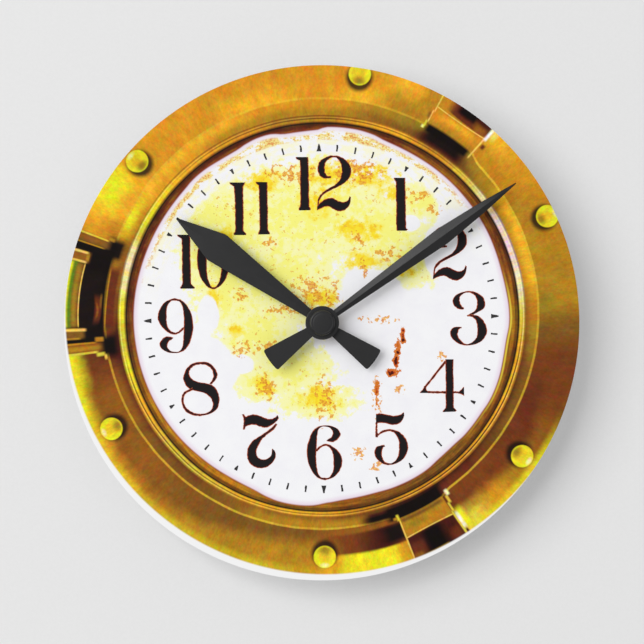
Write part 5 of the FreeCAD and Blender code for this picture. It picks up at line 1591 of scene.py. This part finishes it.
class CLOCK_OT_marks(ClockOperator, Operator):
    """Make the raised polarity marks and the turning arrow on the back"""
    bl_idname = "clock.make_marks"
    bl_label = "Raised marks on the back"

    def execute(self, context):
        # the marks are the case's own black plastic painted 3.2 times lighter, a painted highlight
        # for light catching their raised faces
        base = tuple(3.2 * part for part in tuple(context.scene.clock_movement.case))
        material = finish_material("polished_mark", base, 0.85, 1.15, 0.0, (0.22, 0.3), 400.0,
                                   2000.0, 0.05)
        right = cell_high.x - mark_from_cell_end
        left = cell_low.x + mark_from_cell_end
        for name, parts in (
                ("plus_mark", (self.bar(right, 0.0), self.bar(right, math.pi / 2))),
                ("minus_mark", (self.bar(left, 0.0),)),
                ("setting_arrow", self.arrow())):
            shell = Shell()
            for first, second in parts:
                self.slab(shell, first, second)
            shell.piece(name, "clock", material)
        return {"FINISHED"}

    def slab(self, shell, left, right):
        """Raised band between two edges of (x, z) points on the case's back."""
        low = case_back - mark_sunk
        high = case_back + mark_height
        columns = [np.stack([edge[:, 0], np.full(len(edge), depth), edge[:, 1]], -1)
                   for edge, depth in ((left, high), (right, high), (right, low), (left, low))]
        shell.add(np.stack(columns, 1), False, True)

    def bar(self, x, angle):
        """Edges of a bar above the battery, turned by an angle."""
        along = np.array([math.cos(angle), math.sin(angle)])
        side = np.array([-math.sin(angle), math.cos(angle)]) * mark_half_width
        reach = np.linspace(-mark_half_length, mark_half_length, 4)[:, None]
        line = np.array([x, cell_high.z + mark_above_cell]) + reach * along
        return line - side, line + side

    def arrow(self):
        """Edges of an arc round the knob's well and of a head at each of its ends."""
        centre = np.array([(knob_low.x + knob_high.x) / 2, (knob_low.z + knob_high.z) / 2])
        radius = (knob_high.x - knob_low.x) / 2 + arrow_gap

        def band(turn, half):
            angle = np.radians(turn)
            way = np.stack([np.cos(angle), np.sin(angle)], -1)
            return tuple(centre + way * distance[:, None]
                         for distance in (radius - half, radius + half))

        parts = [band(np.linspace(*arrow_ends, 40), np.full(40, mark_half_width))]
        for start, way in zip(arrow_ends, (-1.0, 1.0)):
            turn = np.linspace(start - way * 0.5, start + way * 12.0, 6)
            parts.append(band(turn, np.linspace(arrow_head_half, arrow_tip_half, 6)))
        return parts


class CLOCK_OT_stage(ClockOperator, Operator):
    """Make the wall, the lamps, the room light and the camera"""
    bl_idname = "clock.make_stage"
    bl_label = "Stage"

    def execute(self, context):
        settings = context.scene.clock_stage
        wide, high = wall_half_size
        wall = self.plane("wall_plane", wall_middle, (wide, 0.0, 0.0), (0.0, 0.0, high))
        wall.data.materials.append(self.one_sided("painted_wall", tuple(settings.wall)))
        for name, setting, lean, rise, size in lamps:
            self.lamp(name, getattr(settings, setting), lean, rise, size)
        self.world(settings)
        self.camera(settings)
        context.scene.view_settings.view_transform = "Standard"
        return {"FINISHED"}

    def plane(self, name, centre, first, second):
        """Flat sheet centre +- first +- second, facing along first x second."""
        centre, first, second = (np.array(part, float) for part in (centre, first, second))
        corners = [centre - first - second, centre + first - second, centre + first + second,
                   centre - first + second]
        mesh = bpy.data.meshes.new(name)
        mesh.from_pydata([tuple(corner) for corner in corners], [], [(0, 1, 2, 3)])
        return new_object(name, mesh)

    def one_sided(self, name, colour):
        """Painted surface for camera and mirror rays that meet its front, clear to all others,
        so that it keeps no light from the clock's back."""
        material, shader, surface = start_material(name, Roughness=0.9, Specular_IOR_Level=0.1)
        grain = shader.noise(shader.object_place(), 900.0, 3.0)
        low = tuple(part * 0.985 for part in colour)
        shader.feed(surface["Base Color"], shader.mix(shader.between(grain, 0.3, 0.7), low, colour))
        shader.feed(surface["Normal"], shader.bump(grain, 0.05, 0.00005))
        rays = shader.node("ShaderNodeLightPath")
        seen = shader.more(rays.outputs["Is Camera Ray"], rays.outputs["Is Glossy Ray"])
        seen = shader.more(seen, rays.outputs["Is Transmission Ray"])
        behind = shader.node("ShaderNodeNewGeometry").outputs["Backfacing"]
        shown = shader.times(seen, shader.minus(1.0, behind))
        clear = shader.node("ShaderNodeBsdfTransparent")
        mixed = shader.node("ShaderNodeMixShader")
        nodes = material.node_tree.nodes
        painted = nodes["Principled BSDF"].outputs[0]
        for socket, value in zip(mixed.inputs, (shown, clear.outputs[0], painted)):
            shader.feed(socket, value)
        shader.feed(nodes["Material Output"].inputs["Surface"], mixed.outputs[0])
        return material

    def lamp(self, name, watts, lean, rise, size):
        """Round lamp turned to the disc: lean degrees off its front, rise degrees above level."""
        lean = math.radians(lean)
        rise = math.radians(rise)
        away = np.array([-math.sin(lean) * math.cos(rise), -math.cos(lean),
                         math.sin(lean) * math.sin(rise)])
        data = bpy.data.lights.new(name, "AREA")
        data.shape = "DISK"
        data.size = size
        data.energy = watts
        self.aimed(name, data, np.array([axis_x, disc_low.y, axis_z]), away, lamp_reach)

    def aimed(self, name, data, target, away, distance):
        """Object at a distance from the target, its -Z turned to it and its Y near up."""
        made = new_object(name, data)
        made.location = tuple(target + away * distance)
        made.rotation_euler = Vector(tuple(-away)).to_track_quat("-Z", "Y").to_euler()
        return made

    def world(self, settings):
        """Even room light; camera and mirror rays see a paler room."""
        world = bpy.data.worlds.new("room")
        bpy.context.scene.world = world
        world.use_nodes = True
        shader = Shader(world.node_tree)
        background = world.node_tree.nodes["Background"]
        background.inputs["Color"].default_value = (1.0, 1.0, 1.0, 1.0)
        rays = shader.node("ShaderNodeLightPath")
        room = shader.between(rays.outputs["Is Glossy Ray"], 0.0, 1.0, settings.sky,
                              settings.sky * mirrored_room, smooth=False)
        strength = shader.between(rays.outputs["Is Camera Ray"], 0.0, 1.0, room, seen_room,
                                  smooth=False)
        shader.feed(background.inputs["Strength"], strength)

    def camera(self, settings):
        """Long lens square to the disc, a little to its left; the frame holds 644 drawing units."""
        data = bpy.data.cameras.new("camera")
        data.lens = settings.lens
        data.sensor_width = sensor_width
        data.clip_start = 0.01
        distance = camera_nearness * frame_width * data.lens / sensor_width
        azimuth, elevation = (math.radians(degrees) for degrees in camera_degrees)
        target = np.array([axis_x + camera_aim[0], disc_low.y, axis_z + camera_aim[1]])
        toward = np.array([math.sin(azimuth) * math.cos(elevation),
                           -math.cos(azimuth) * math.cos(elevation), math.sin(elevation)])
        bpy.context.scene.camera = self.aimed("camera", data, target, toward, distance)


class CLOCK_PT_panel(Panel):
    """Sidebar panel that lists the clock's settings and pieces"""
    bl_label = "Wall Clock"
    bl_idname = "CLOCK_PT_panel"
    bl_space_type = "VIEW_3D"
    bl_region_type = "UI"
    bl_category = "Wall Clock"

    def draw(self, context):
        for group in settings_groups:
            box = self.layout.box()
            holder = getattr(context.scene, group)
            for name in settings_groups[group].__annotations__:
                box.prop(holder, name)
        for operator in piece_operators:
            self.layout.operator(operator.bl_idname)


settings_groups = {"clock_print": PrintSettings, "clock_hands": HandSettings,
                   "clock_movement": MovementSettings, "clock_stage": StageSettings}
piece_operators = (CLOCK_OT_disc, CLOCK_OT_print, CLOCK_OT_numbers, CLOCK_OT_hands,
                   CLOCK_OT_movement, CLOCK_OT_marks, CLOCK_OT_stage)


def register():
    for group in settings_groups.values():
        bpy.utils.register_class(group)
    for operator in piece_operators:
        bpy.utils.register_class(operator)
    bpy.utils.register_class(CLOCK_PT_panel)
    for name, group in settings_groups.items():
        setattr(bpy.types.Scene, name, PointerProperty(type=group))


def unregister():
    for name in settings_groups:
        delattr(bpy.types.Scene, name)
    bpy.utils.unregister_class(CLOCK_PT_panel)
    for operator in reversed(piece_operators):
        bpy.utils.unregister_class(operator)
    for group in reversed(list(settings_groups.values())):
        bpy.utils.unregister_class(group)


def main():
    register()
    grain_group()
    for operator in piece_operators:
        family, name = operator.bl_idname.split(".")
        getattr(getattr(bpy.ops, family), name)()
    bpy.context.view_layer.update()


if __name__ == "__main__":
    main()
